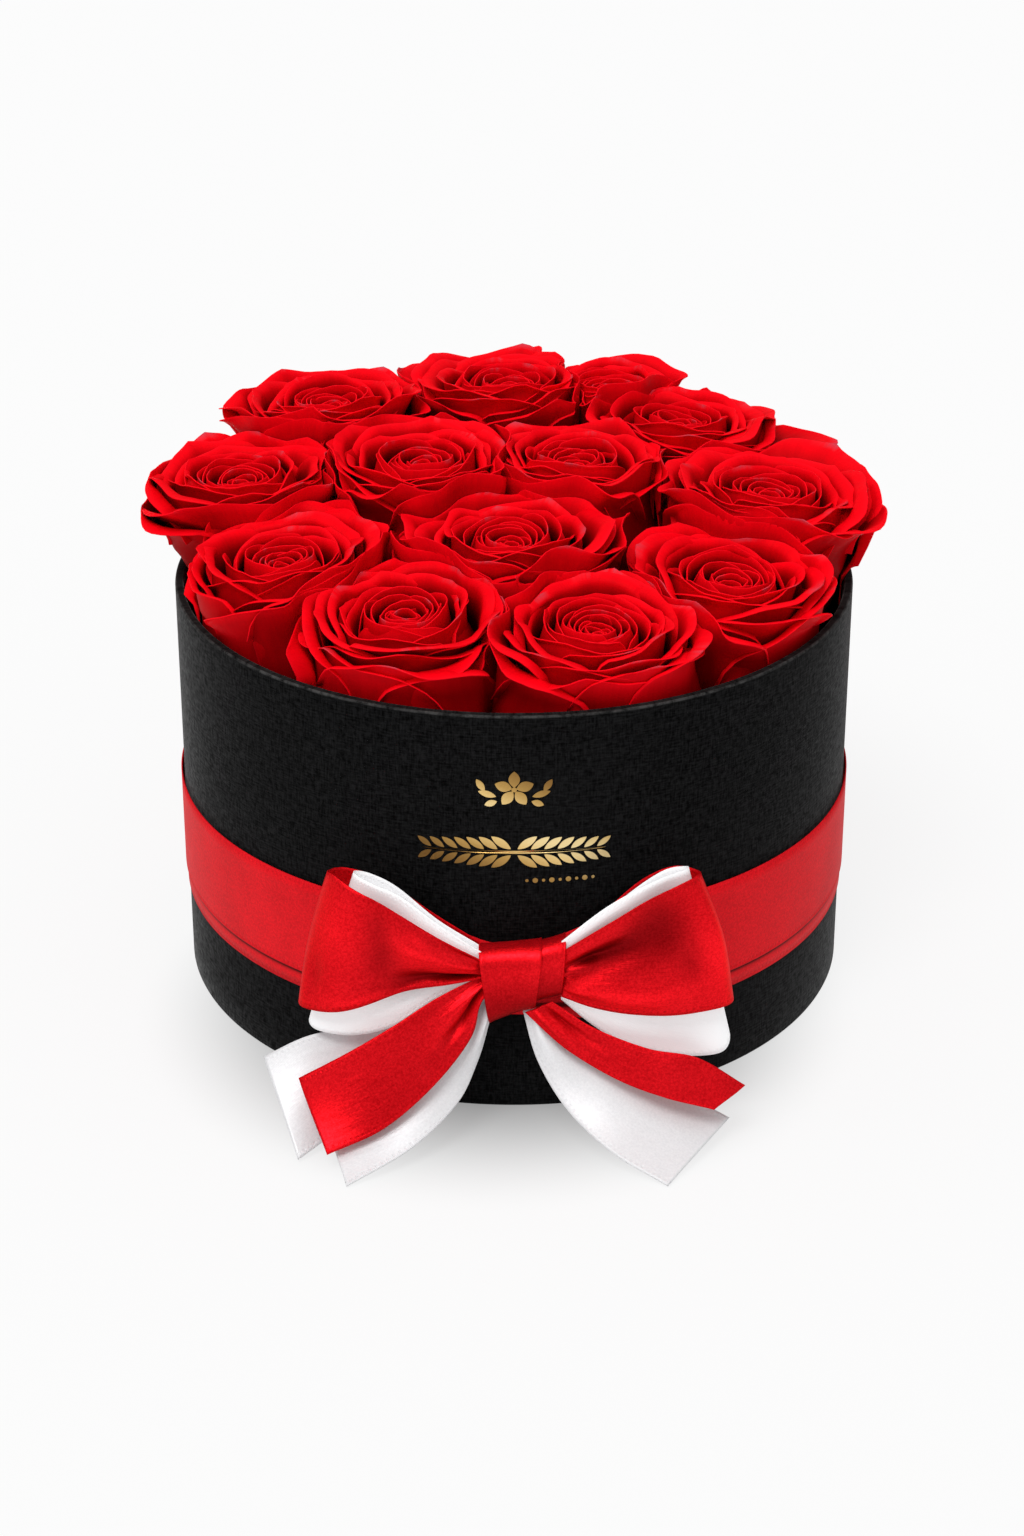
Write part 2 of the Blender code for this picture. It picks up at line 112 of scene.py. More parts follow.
def place_piece(mesh, mat, body, node):
    """Put a mesh in the scene on its body, in place of a node of the frame."""
    mesh.materials.append(mat)
    obj = add_object(mesh.name, mesh)
    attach(obj, body)
    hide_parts(node)


def grid_normals(points):
    """Unit normals of a grid of points [rows, columns, 3]."""
    normal = np.cross(np.gradient(points, axis=1), np.gradient(points, axis=0))
    size = np.linalg.norm(normal, axis=2, keepdims=True)
    return normal / np.maximum(size, 1e-12)


def sheet_solid(points, thickness):
    """Vertices and faces of a closed thin solid around a grid of points."""
    rows, cols, _ = points.shape
    half = grid_normals(points) * 0.5 * np.broadcast_to(thickness, (rows, cols))[..., None]
    verts = np.concatenate(((points + half).reshape(-1, 3), (points - half).reshape(-1, 3)))
    index = np.arange(rows * cols).reshape(rows, cols)
    front = np.stack((index[:-1, :-1], index[:-1, 1:], index[1:, 1:], index[1:, :-1]), axis=-1).reshape(-1, 4)
    back = front[:, ::-1] + rows * cols
    rim = np.concatenate((index[0, :], index[1:, -1], index[-1, -2::-1], index[-2:0:-1, 0]))
    following = np.roll(rim, -1)
    border = np.stack((following, rim, rim + rows * cols, following + rows * cols), axis=-1)
    return verts, np.concatenate((front, back, border))


class Pile:
    """Collects sheets into one piece, with a value of each attribute for every vertex."""

    def __init__(self):
        self.verts = []
        self.faces = []
        self.attributes = {}
        self.count = 0

    def add(self, points, thickness, **attributes):
        verts, faces = sheet_solid(points, thickness)
        self.verts.append(verts)
        self.faces.append(faces + self.count)
        self.count += len(verts)
        values = {key: np.tile(np.broadcast_to(grid, points.shape[:2]).reshape(-1), 2)
                  for key, grid in attributes.items()}
        values["back"] = np.repeat((0.0, 1.0), len(verts) // 2)
        for key, value in values.items():
            self.attributes.setdefault(key, []).append(value)

    def place(self, name, mat, body, node, slot):
        attributes = {key: np.concatenate(values) for key, values in self.attributes.items()}
        mesh = attribute_mesh(name, np.concatenate(self.verts), np.concatenate(self.faces), attributes)
        place_piece(mesh, mat, body, node)


def turned(name, profile, segments=256):
    """A closed (radius, height) outline turned about Z."""
    angles = np.linspace(0, FULL_TURN, segments, endpoint=False)
    bm = bmesh.new()
    rings = [[bm.verts.new((r * math.cos(a), r * math.sin(a), z)) for a in angles] for r, z in profile]
    for low, high in zip(rings, rings[1:] + rings[:1]):
        for i in range(segments):
            j = (i + 1) % segments
            bm.faces.new((low[i], low[j], high[j], high[i]))
    bmesh.ops.recalc_face_normals(bm, faces=bm.faces)
    mesh = bpy.data.meshes.new(name)
    bm.to_mesh(mesh)
    bm.free()
    mesh.shade_smooth()
    mesh.set_sharp_from_angle(angle=SHARP)
    return mesh


# ---------------------------------------------------------------- materials
class Nodes:
    """A short way to write a material's or a world's nodes; a value may be a number, a colour or a socket."""

    def __init__(self, name, world=False):
        self.made = (bpy.data.worlds if world else bpy.data.materials).new(name)
        self.made.use_nodes = True
        self.tree = self.made.node_tree
        self.shader = self.tree.nodes["Background" if world else "Principled BSDF"]

    def node(self, kind, inputs=None, **settings):
        node = self.tree.nodes.new(kind)
        for key, value in settings.items():
            setattr(node, key, value)
        for key, value in (inputs or {}).items():
            self.put(node.inputs[key], value)
        return node

    def put(self, socket, value):
        if isinstance(value, bpy.types.NodeSocket):
            self.tree.links.new(value, socket)
        elif isinstance(value, tuple) and len(value) == 3 and socket.type == "RGBA":
            socket.default_value = (*value, 1.0)
        else:
            socket.default_value = value

    def shade(self, **inputs):
        for key, value in inputs.items():
            self.put(self.shader.inputs[key.replace("_", " ")], value)

    def math(self, operation, *values):
        node = self.node("ShaderNodeMath", operation=operation)
        for socket, value in zip(node.inputs, values):
            self.put(socket, value)
        return node.outputs[0]

    def plus(self, total, *values):
        for value in values:
            total = self.math("ADD", total, value)
        return total

    def times(self, product, *values):
        for value in values:
            product = self.math("MULTIPLY", product, value)
        return product

    def ripple(self, value, pitch):
        """A sine wave of this pitch."""
        return self.math("SINE", self.times(value, FULL_TURN / pitch))

    def attribute(self, name):
        return self.node("ShaderNodeAttribute", attribute_name=name).outputs["Fac"]

    def place(self):
        return self.node("ShaderNodeTexCoord").outputs["Object"]

    def split(self, vector):
        return self.node("ShaderNodeSeparateXYZ", {"Vector": vector}).outputs

    def combine(self, x, y, z=0.0):
        return self.node("ShaderNodeCombineXYZ", {"X": x, "Y": y, "Z": z}).outputs[0]

    def noise(self, vector, scale, detail=3.0, rough=0.55):
        inputs = {"Vector": vector, "Scale": scale, "Detail": detail, "Roughness": rough}
        return self.node("ShaderNodeTexNoise", inputs).outputs["Fac"]

    def fibres(self, vector, scales, detail):
        """Noise with its own scale along each axis."""
        stretched = self.node("ShaderNodeMapping", {"Vector": vector, "Scale": scales}).outputs[0]
        return self.noise(stretched, 1.0, detail)

    def ramp(self, value, *stops):
        node = self.node("ShaderNodeValToRGB", {"Fac": value})
        elements = node.color_ramp.elements
        while len(elements) < len(stops):
            elements.new(0.5)
        for element, (place, colour) in zip(elements, stops):
            element.position = place
            element.color = (*colour, 1.0)
        return node.outputs["Color"]

    def grade(self, value, low, high, to_low=0.0, to_high=1.0, **settings):
        inputs = {"Value": value, "From Min": low, "From Max": high, "To Min": to_low, "To Max": to_high}
        return self.node("ShaderNodeMapRange", inputs, **settings).outputs[0]

    def mix(self, share, one, other, blend="MIX"):
        node = self.node("ShaderNodeMix", data_type="RGBA", blend_type=blend)
        self.put(node.inputs["Factor"], share)
        self.put(node.inputs["A"], one)
        self.put(node.inputs["B"], other)
        return node.outputs["Result"]

    def dim(self, colour, factor):
        return self.mix(1.0, colour, self.combine(factor, factor, factor), "MULTIPLY")

    def bump(self, height, strength, distance, normal=None):
        inputs = {"Height": height, "Strength": strength, "Distance": distance}
        if normal:
            inputs["Normal"] = normal
        return self.node("ShaderNodeBump", inputs).outputs[0]


PETAL_RIM_HIGHLIGHT = (0.97, 0.006, 0.016)
FADED_TIP = (0.50, 0.06, 0.09)


def petal_material():
    """Velvety red petals: painted shade darkens them below the rim down to the foot, and a painted highlight
    lines the saturated rim; with faint veins and faded tips.
    """
    n = Nodes("rose_petal")
    along, across, which, edge, depth, tip = (
        n.attribute("petal_" + key) for key in ("v", "u", "id", "edge", "depth", "tip"))
    veins = n.noise(n.combine(n.times(across, 34.0), n.times(along, 2.2), which), 1.0, 4.0)
    mottle = n.noise(n.combine(n.times(across, 2.5), n.times(along, 2.5), which), 1.6)
    # Painted shade: both sides of a petal darken with depth below the rim, sooner on small petals, standing
    # in for the shadow deep between petals
    inside = n.ramp(depth, (0.0, (0.92, 0.0006, 0.007)), (0.10, (0.70, 0.0003, 0.004)),
                    (0.24, (0.27, 0.0, 0.001)), (0.45, (0.04, 0.0, 0.0)))
    outside = n.ramp(depth, (0.0, (0.90, 0.0006, 0.007)), (0.14, (0.58, 0.0003, 0.004)),
                     (0.45, (0.36, 0.0002, 0.002)), (1.0, (0.16, 0.0, 0.001)))
    body = n.mix(n.attribute("back"), outside, inside)
    body = n.dim(body, n.grade(mottle, 0.0, 1.0, 0.75, 1.25))
    body = n.dim(body, n.grade(veins, 0.3, 0.7, 0.94, 1.04))
    # Painted highlight: a thin bright line along each petal's rim
    body = n.mix(n.grade(edge, 0.0, 0.6 * MM, 0.35, 0.0), body, PETAL_RIM_HIGHLIGHT)
    worn = n.noise(n.combine(n.times(across, 5.0), along, n.times(which, 3.7)), 1.3, 5.0, 0.7)
    faded = n.times(n.grade(edge, 0.0, 1.2 * MM, 0.85, 0.0), n.grade(tip, 0.3, 0.9),
                    n.grade(worn, 0.42, 0.56))
    body = n.mix(faded, body, FADED_TIP)
    velvet = n.noise(n.place(), 2600.0, 2.0)
    n.shade(Base_Color=body, Roughness=0.55, Specular_IOR_Level=0.02,
            Normal=n.bump(velvet, 0.10, 0.1 * MM, n.bump(veins, 0.12, 0.3 * MM)))
    return n.made


# Pitches of the satin's threads, of the stitches and of the cord in its edges
TWILL_PITCH = 0.45 * MM
CROSS_PITCH = 0.6 * MM
STITCH_PITCH = 1.7 * MM
CORD_PITCH = 0.5 * MM


def satin_threads(n, s, w):
    """Fine diagonal twill with finer lines across it, from -0.5 to 0.5."""
    twill = n.ripple(n.plus(s, n.times(w, 0.6)), TWILL_PITCH)
    cross = n.ripple(n.plus(w, n.times(s, -0.2)), CROSS_PITCH)
    return n.times(n.plus(twill, cross), 0.25)


def satin_stitches(n, s, edge):
    """A row of tiny stitches just inside each edge."""
    row = n.times(n.grade(edge, 0.9 * MM, 1.1 * MM), n.grade(edge, 1.6 * MM, 1.8 * MM, 1.0, 0.0))
    return n.times(row, n.grade(n.ripple(s, STITCH_PITCH), 0.2, 0.6))


def satin_material(name, colour, dark, gloss, shine, hollow, wrinkle=0.0, glow=0.0):
    """Woven satin: strip_s runs along a ribbon and strip_w across it; strip_fold is below 0 in hollows, which
    get painted shade, and above 0 on ridges, which get a painted highlight.
    """
    n = Nodes(name)
    s, w, edge, fold = (n.attribute("strip_" + key) for key in ("s", "w", "edge", "fold"))
    threads = satin_threads(n, s, w)
    slub = n.noise(n.combine(n.times(s, 90.0), n.times(w, 1400.0)), 1.0)
    grain = n.noise(n.place(), 1500.0, 2.0, 0.7)
    cloud = n.noise(n.place(), 60.0)
    tone = n.plus(n.times(threads, 0.10), n.grade(slub, 0.25, 0.75, -0.06, 0.06),
                  n.grade(grain, 0.35, 0.65, -0.22, 0.22), n.grade(cloud, 0.3, 0.7, 0.38, 0.62))
    body = n.mix(tone, dark, colour)
    # Painted shade in hollows, down to hollow times the colour, and painted highlight on ridges, both from
    # strip_fold
    body = n.dim(body, n.times(n.grade(fold, -1.0, 0.0, hollow, 1.0), n.grade(fold, 0.0, 0.7, 1.0, 1.38)))
    stitch = satin_stitches(n, s, edge)
    body = n.mix(n.times(stitch, 0.45), body, dark)
    selvedge = n.grade(edge, 0.9 * MM, 1.2 * MM, 1.0, 0.0)
    cord = n.times(selvedge, n.ripple(s, CORD_PITCH))
    height = n.plus(n.times(threads, 0.02 * MM), n.times(slub, 0.02 * MM),
                    n.times(stitch, -0.08 * MM), n.times(cord, 0.03 * MM))
    normal = n.bump(height, 0.7, 1.0)
    if wrinkle:
        creases = n.noise(n.combine(n.times(s, 75.0), n.times(w, 260.0)), 1.0)
        normal = n.bump(creases, n.grade(s, 0.0, 35 * MM, wrinkle, 0.4 * wrinkle), 1.6 * MM, normal)
    rough = n.plus(n.grade(slub, 0.2, 0.8, gloss - 0.05, gloss + 0.06), n.times(selvedge, 0.12))
    n.shade(Base_Color=body, Roughness=rough, Normal=normal, Metallic=shine, Specular_IOR_Level=0.18)
    n.put(n.shader.inputs["Specular Tint"], tuple(min(1.0, c + 0.15) for c in colour))
    # Painted glow: the satin gives off its own colour as light
    if glow:
        n.shade(Emission_Color=body, Emission_Strength=glow)
    return n.made


def pale_rim_band(n, place, flat, z):
    """How much lighter the covering paper is made, in a narrow irregular band round the rim's edge."""
    blotch = n.noise(place, 300.0, 5.0, 0.7)
    streak = n.fibres(flat, (70.0, 900.0, 1.0), 4.0)
    band = n.times(n.grade(z, RIM - 0.9 * MM, RIM - 0.5 * MM),
                   n.grade(z, RIM - 0.12 * MM, RIM - 0.04 * MM, 1.0, 0.15))
    return n.times(band, n.grade(blotch, 0.36, 0.60), n.grade(streak, 0.30, 0.55, 0.25, 1.0))


def linen_paper(name, base, pale, pale_rim_edge=False):
    """Embossed linen paper: fine crossed threads, mottling, and a lighter irregular band at the rim's edge.
    """
    n = Nodes(name)
    place = n.place()
    x, y, z = n.split(place)
    flat = n.combine(n.times(n.math("ARCTAN2", y, x), BOX_RADIUS), z)
    warp = n.fibres(flat, (2000.0, 260.0, 1.0), 3.0)
    weft = n.fibres(flat, (260.0, 2000.0, 1.0), 3.0)
    threads = n.times(n.plus(warp, weft), 0.5)
    mottle = n.noise(place, 800.0, 4.0, 0.7)
    broad = n.noise(place, 16.0)
    tone = n.plus(n.grade(threads, 0.42, 0.60, 0.0, 0.60), n.grade(mottle, 0.40, 0.66, 0.0, 0.50),
                  n.grade(broad, 0.3, 0.7, -0.08, 0.10))
    body = n.mix(tone, base, pale)
    if pale_rim_edge:
        # A lighter grey in a narrow irregular band round the rim's outer edge
        body = n.mix(pale_rim_band(n, place, flat, z), body, (0.052, 0.051, 0.050))
    height = n.plus(n.times(threads, 0.10 * MM), n.times(mottle, 0.05 * MM))
    n.shade(Base_Color=body, Roughness=n.grade(mottle, 0.3, 0.7, 0.62, 0.80), Normal=n.bump(height, 0.8, 1.0),
            Specular_IOR_Level=0.02, Sheen_Weight=n.grade(tone, 0.1, 0.9, 0.03, 0.19), Sheen_Roughness=0.35)
    return n.made


def board_material():
    """Grey chipboard with fibres and dark specks."""
    n = Nodes("grey_chipboard")
    place = n.place()
    fibres = n.fibres(place, (900.0, 900.0, 120.0), 5.0)
    specks = n.noise(place, 700.0, 2.0)
    body = n.ramp(fibres, (0.3, (0.22, 0.20, 0.17)), (0.55, (0.34, 0.31, 0.27)), (0.8, (0.45, 0.42, 0.37)))
    body = n.mix(n.grade(specks, 0.68, 0.74), body, (0.12, 0.10, 0.08))
    n.shade(Base_Color=body, Roughness=0.92, Normal=n.bump(fibres, 0.4, 0.3 * MM))
    return n.made


def foam_material():
    """Dense green floral foam: tiny open cells and a dusty cut surface."""
    n = Nodes("floral_foam")
    place = n.place()
    cells = n.node("ShaderNodeTexVoronoi", {"Vector": place, "Scale": 1100.0}).outputs["Distance"]
    coarse = n.noise(place, 160.0, 4.0)
    body = n.ramp(coarse, (0.3, (0.030, 0.11, 0.035)), (0.7, (0.065, 0.20, 0.07)))
    # Painted shade: the open cells are darker towards their middles
    body = n.mix(n.grade(cells, 0.0, 0.5, 0.5, 0.0), body, (0.015, 0.06, 0.02))
    normal = n.bump(coarse, 0.3, 1.0 * MM, n.bump(cells, 0.6, 0.4 * MM))
    n.shade(Base_Color=body, Roughness=0.95, Normal=normal, Sheen_Weight=0.2)
    return n.made


def plastic_material():
    """Thin black plastic with a faint grain and smears."""
    n = Nodes("black_liner_plastic")
    grain = n.noise(n.place(), 900.0)
    smear = n.noise(n.place(), 45.0)
    body = n.mix(n.grade(smear, 0.3, 0.7), (0.010, 0.010, 0.011), (0.026, 0.026, 0.027))
    n.shade(Base_Color=body, Roughness=n.grade(smear, 0.3, 0.7, 0.34, 0.5),
            Normal=n.bump(grain, 0.12, 0.2 * MM))
    return n.made


def green_material(name, dark, light, along):
    """Green plant skin with lengthwise fibres; along is the texture's scale up the stem."""
    n = Nodes(name)
    fibres = n.fibres(n.place(), (1400.0, 1400.0, along), 4.0)
    patches = n.noise(n.place(), 110.0)
    body = n.mix(n.grade(patches, 0.3, 0.7), dark, light)
    body = n.mix(n.grade(fibres, 0.55, 0.75, 0.0, 0.35), body, (0.20, 0.30, 0.10))
    n.shade(Base_Color=body, Roughness=0.55, Normal=n.bump(fibres, 0.35, 0.3 * MM), Sheen_Weight=0.1)
    return n.made


def foil_material():
    """Hot-stamped gold foil: a slanting gradient from pale gold to dark bronze, a painted reflection."""
    n = Nodes("gold_foil")
    x, _, z = n.split(n.place())
    wave = n.math("SINE", n.times(n.plus(n.times(x, 26.0), n.times(z, 60.0)), 2.6))
    body = n.ramp(n.grade(wave, -1.0, 1.0), (0.0, (0.23, 0.115, 0.028)), (0.45, (0.50, 0.30, 0.085)),
                  (0.8, (0.80, 0.56, 0.22)), (1.0, (0.92, 0.72, 0.36)))
    grain = n.noise(n.place(), 1900.0, 2.0)
    n.shade(Base_Color=body, Metallic=0.85, Roughness=n.grade(grain, 0.3, 0.7, 0.30, 0.46),
            Normal=n.bump(grain, 0.15, 0.1 * MM))
    return n.made


# ---------------------------------------------------------------- box
ROUND_EDGE = 0.8 * MM        # how far the rim's two edges are rounded
ROUND_FOOT = 0.7 * MM
TURN_IN = 12 * MM            # how far the covering paper reaches down inside


def build_box():
    # The outline runs up the wall, over the rim, down inside and back between the covering's two layers
    quarter = np.linspace(0, math.pi / 2, 6)
    inner_foot = RIM - TURN_IN
    foot = [(BOX_RADIUS - ROUND_FOOT, 0.0), (BOX_RADIUS - 0.3 * ROUND_FOOT, 0.3 * ROUND_FOOT),
            (BOX_RADIUS, ROUND_FOOT)]
    wall = [(BOX_RADIUS, z) for z in np.linspace(10 * MM, RIM - 4 * MM, 9)]
    across, rise = ROUND_EDGE * (1 - np.cos(quarter)), ROUND_EDGE * (1 - np.sin(quarter))
    over = list(zip(BOX_RADIUS - across, RIM - rise))
    down = list(zip(INNER_RADIUS + rise, RIM - across))
    back = [(INNER_RADIUS, inner_foot), (LINING_RADIUS, inner_foot), (LINING_RADIUS, RIM - PAPER),
            (BOX_RADIUS - PAPER, RIM - PAPER), (BOX_RADIUS - PAPER, 0.0)]
    paper = linen_paper("black_linen_paper", (0.0001, 0.0001, 0.0001), (0.0098, 0.0098, 0.0102),
                        pale_rim_edge=True)
    mesh = turned("covering_paper", foot + wall + over + down + back)
    place_piece(mesh, paper, "box", "wrap_paper")
    board = board_material()
    carried = {
        "box_board_tube": board,
        "base_board": board,
        "lining_paper": linen_paper("black_lining", (0.003, 0.003, 0.003), (0.014, 0.014, 0.015)),
        "base_paper": linen_paper("black_base_paper", (0.005, 0.005, 0.006), (0.024, 0.024, 0.025)),
        "foam_block": foam_material(),
        "liner_pot": plastic_material(),
    }
    for node, mat in carried.items():
        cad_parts[node].data.materials.clear()
        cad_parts[node].data.materials.append(mat)


BAND_COLUMNS = 320
BAND_HALF_THICKNESS = 0.18 * MM
# The band narrows behind the knot: over this width, by so much at its top and its bottom
GATHER_WIDTH = 21 * MM
GATHER_TOP = 9.5 * MM
GATHER_BOTTOM = 4 * MM


def band_faces(rows, columns):
    """Faces of a closed ring whose outer skin's grid of points comes before its inner skin's."""
    faces = []
    size = rows * columns
    top = size - columns
    for i in range(columns):
        j = (i + 1) % columns
        for low in range(0, top, columns):
            high = low + columns
            faces.append((low + i, low + j, high + j, high + i))
            faces.append((high + i + size, high + j + size, low + j + size, low + i + size))
        faces.append((i + size, j + size, j, i))
        faces.append((top + i, top + j, top + j + size, top + i + size))
    return faces


def band_strip(name, node, low, high, mat):
    """A satin band round the box, slightly uneven as if wrapped by hand."""
    tall = high.z - low.z
    # The over band's lower edge gets a thin painted shadow on the under band, so rows lie close together
    # there
    line = (OVER_LOW.z - low.z) / tall
    rise = np.concatenate((np.linspace(0, 1, 9), line + np.linspace(-0.08, 0.08, 17)))
    rise = np.unique(np.clip(rise, 0, 1))[:, None]
    shadow = -np.minimum(1.0, 1.8 * bell((rise - line) / 0.035)) if line > 0 else 0 * rise
    angle = np.linspace(0, FULL_TURN, BAND_COLUMNS, endpoint=False)
    wander = 0.25 * MM * np.sin(2 * angle + 1.0) + 0.15 * MM * np.sin(5 * angle)
    gather = bell((angle - 1.5 * math.pi) * BOX_RADIUS / GATHER_WIDTH)
    bottom = low.z + wander + GATHER_BOTTOM * gather
    top = high.z + wander - GATHER_TOP * gather
    z = bottom + (top - bottom) * rise
    skins = []
    for side in (1, -1):
        radius = high.x - 0.2 * MM + side * BAND_HALF_THICKNESS
        skins.append(np.stack((radius * np.cos(angle) + 0 * z, radius * np.sin(angle) + 0 * z, z), axis=-1))
    grids = {"strip_s": angle * BOX_RADIUS, "strip_w": tall * rise,
             "strip_edge": tall * np.minimum(rise, 1 - rise), "strip_fold": shadow}
    attributes = {key: np.tile(np.broadcast_to(grid, z.shape).reshape(-1), 2) for key, grid in grids.items()}
    mesh = attribute_mesh(name, np.concatenate(skins).reshape(-1, 3), band_faces(*z.shape), attributes)
    place_piece(mesh, mat, "box", node)


def build_bands():
    satin = satin_material("red_band_satin", (0.88, 0.010, 0.018), (0.46, 0.004, 0.008), 0.60, 0.10, 0.12)
    band_strip("band_over", "ribbon_band_over", OVER_LOW, OVER_HIGH, satin)
    band_strip("band_under", "ribbon_band_under", UNDER_LOW, UNDER_HIGH, satin)


# ---------------------------------------------------------------- roses
# Petals follow a spiral from the heart outwards, each a golden angle on from the last
PETALS = 40
GOLDEN_ANGLE = math.radians(137.5)
HEART = 2.1 * MM             # mouth radius of the first petal
GIRTH = 28.5 * MM            # mouth radius of the last petal
FOOT_DEPTH = 40.5 * MM       # from the opening down to the foot of the head
MOUTH_TILT = math.radians(5)
PETAL_THICKNESS = 0.42 * MM
# Petals of a mouth radius under this one are small, and get fewer points
SMALL_PETAL = 9 * MM
# The outermost petals at the front stand upright; this share of them is left out, which opens gaps
GUARD_GAPS = 0.35
# How full each rose is, against the ordinary one
SIZES = {3: 0.98, 4: 1.06, 5: 1.12, 6: 0.72, 7: 1.02, 8: 0.96, 9: 1.02, 11: 1.08, 12: 1.02, 13: 0.90}
# How a petal changes from the heart outwards, against its mouth radius in mm: rim height over the
# opening in mm, half width and flare in degrees, rim curl in degrees, drop of the rim's sides
GROWTH = (
    (0.0, -3.0, 165, -12, 0, 0.05),
    (3.0, -0.2, 150, -12, 0, 0.06),
    (6.0, 1.8, 130, -10, 0, 0.07),
    (10.0, 3.4, 104, -6, 0, 0.08),
    (14.0, 4.8, 86, -2, 20, 0.09),
    (18.0, 5.4, 76, 3, 50, 0.11),
    (22.0, 5.6, 68, 8, 75, 0.13),
    (26.0, 4.8, 60, 14, 85, 0.15),
    (30.0, 2.2, 54, 22, 80, 0.17),
)


def size_of(rose):
    return SIZES.get(number_of(rose), 1.0)


def growth(radius):
    """Rim height, half width, flare, curl and drop of a petal with this mouth radius."""
    table = np.array(GROWTH)
    return [float(np.interp(radius / MM, table[:, 0], table[:, k])) for k in range(1, 6)]


def petal_outline(u, skew, drop, outer, rng):
    """Height of the petal's rim against its tallest, and how near each column is to the pointed tip."""
    blunt = rng.uniform(2.4, 3.4)
    ragged = 0.004 * np.sin(7 * u + rng.uniform(0, 6)) + 0.0015 * np.sin(23 * u + rng.uniform(0, 6))
    tip = np.exp(-np.abs(u - skew) / 0.15)
    corner = np.maximum(0.0, np.abs(u) - 0.78) / 0.22
    top = 1 - drop * np.abs(u - skew) ** blunt - 0.15 * corner ** 2 - ragged + 0.030 * tip * outer
    return top, tip


def petal_lean(t, to_rim, aside, flare, curl, outer, rng):
    """How far the petal leans outwards at each point: cupped at the foot, flared above, rolled at the rim."""
    cup = math.radians(68) * (1 - smooth(t / 0.38)) - math.radians(6) * bell((t - 0.64) / 0.15)
    reach = 0.022 + 0.024 * outer * rng.uniform(0.2, 1.2)
    rolled = 0.35 + 0.65 * smooth(aside / 0.45)
    return cup + flare * smooth((t - 0.60) / 0.35) + curl * smooth(1 - to_rim / reach) * rolled


def petal_waves(out, up, radius, u, t, to_rim, tip, outer, rng):
    """One side is tucked in and the other lies outside, the rim waves a little and the tip hooks out."""
    high = smooth((t - 0.3) / 0.5)
    out = out * (1 + (0.10 - 0.05 * outer) * u * high)
    up = up + rng.normal() * 1.0 * MM * u * min(1.0, radius / (10 * MM)) * t ** 3
    slow = 0.022 * np.sin(3.1 * u + rng.uniform(0, 6))
    quick = 0.012 * np.sin(7.3 * u + rng.uniform(0, 6)) * (0.4 + 1.6 * smooth(1 - to_rim / 0.2))
    out = out * (1 + (slow + quick) * high)
    crease = bell((u - rng.uniform(-0.6, 0.6)) / 0.10)
    out = out - 0.9 * MM * outer * crease * high * rng.uniform(-0.5, 1.0)
    broad = 0.7 * MM * np.sin(2.3 * u + rng.uniform(0, 6))
    narrow = 0.6 * MM * outer * np.sin(8 * u + rng.uniform(0, 6))
    up = up + (broad + narrow) * t ** 4
    return out + 1.6 * MM * outer * tip * smooth(1 - to_rim / 0.035), up


def petal_shape(radius, guard, rng, rows, cols):
    """A petal as a grid round the rose's axis: turn, way out and way up from the opening, and its attributes.

    u runs across it from -1 to 1 and t up it from 0; outer is 1 for the outer petals.
    """
    rim, half_width, flare, curl, drop = growth(radius)
    outer = smooth((radius - 10 * MM) / (10 * MM))
    uneven = rng.normal() * (0.5 + 0.5 * outer) * MM * min(1.0, radius / (8 * MM))
    tall = (rim - 3.0 * guard) * MM + uneven + FOOT_DEPTH
    half_width = math.radians(half_width) * rng.uniform(0.90, 1.12)
    flare = math.radians(flare * (1 - guard) + rng.normal() * (2 + 6 * outer) * (1 - 0.6 * guard))
    curl = math.radians(curl * rng.uniform(0.45, 1.35))
    u = np.linspace(-1, 1, cols)[None, :]
    skew = rng.uniform(-0.25, 0.25)
    top, tip = petal_outline(u, skew, drop, outer, rng)
    t = (1 - (1 - np.linspace(0, 1, rows)) ** 1.8)[:, None] * top
    to_rim = top - t
    lean = petal_lean(t, to_rim, np.abs(u - skew), flare, curl, outer, rng)
    step = np.diff(t, axis=0, prepend=0.0)
    out = np.cumsum(np.sin(lean) * step, axis=0)
    up = np.cumsum(np.cos(lean) * step, axis=0)
    # Stretch it so that it stands at its mouth radius some way up and is as tall as it should be
    middle, mouth = cols // 2, int(rows * 0.62)
    foot = 1.2 * MM + 0.06 * radius
    out = foot + out * (radius - foot) / out[mouth, middle]
    up = up * tall / up[:, middle].max() - FOOT_DEPTH
    turn = half_width * (0.30 + 0.70 * smooth(t / 0.40)) * u
    out, up = petal_waves(out, up, radius, u, t, to_rim, tip, outer, rng)
    depth = to_rim * tall
    marks = {
        "petal_v": t, "petal_u": u, "petal_tip": tip,
        "petal_edge": np.minimum(depth, (1 - np.abs(u)) * radius * half_width),
        # petal_depth drives the painted shade: depth below the rim, scaled so that small petals darken sooner
        "petal_depth": depth / (4.5 * MM + 0.80 * radius),
    }
    return turn, out, up, marks


# Roses closer together than this meet at a seam, which waves to either side
NEXT_ROSE = 75 * MM
SEAM_WAVE = 2.2 * MM
SEAM_PITCH = 4.2 * MM        # length of that wave over a full turn of 2 pi
# Petals slow down this far short of a seam or the wall, and stop this far short
SLOW_DOWN = 3.0 * MM
FULL_STOP = 0.2 * MM
# How far petals may spread over the rim at the back and at the front, and how high above it
SPREAD_BACK = 12.5 * MM
SPREAD_FRONT = 3.3 * MM
SPREAD_HEIGHT = 9 * MM
CLEAR = 0.6 * MM


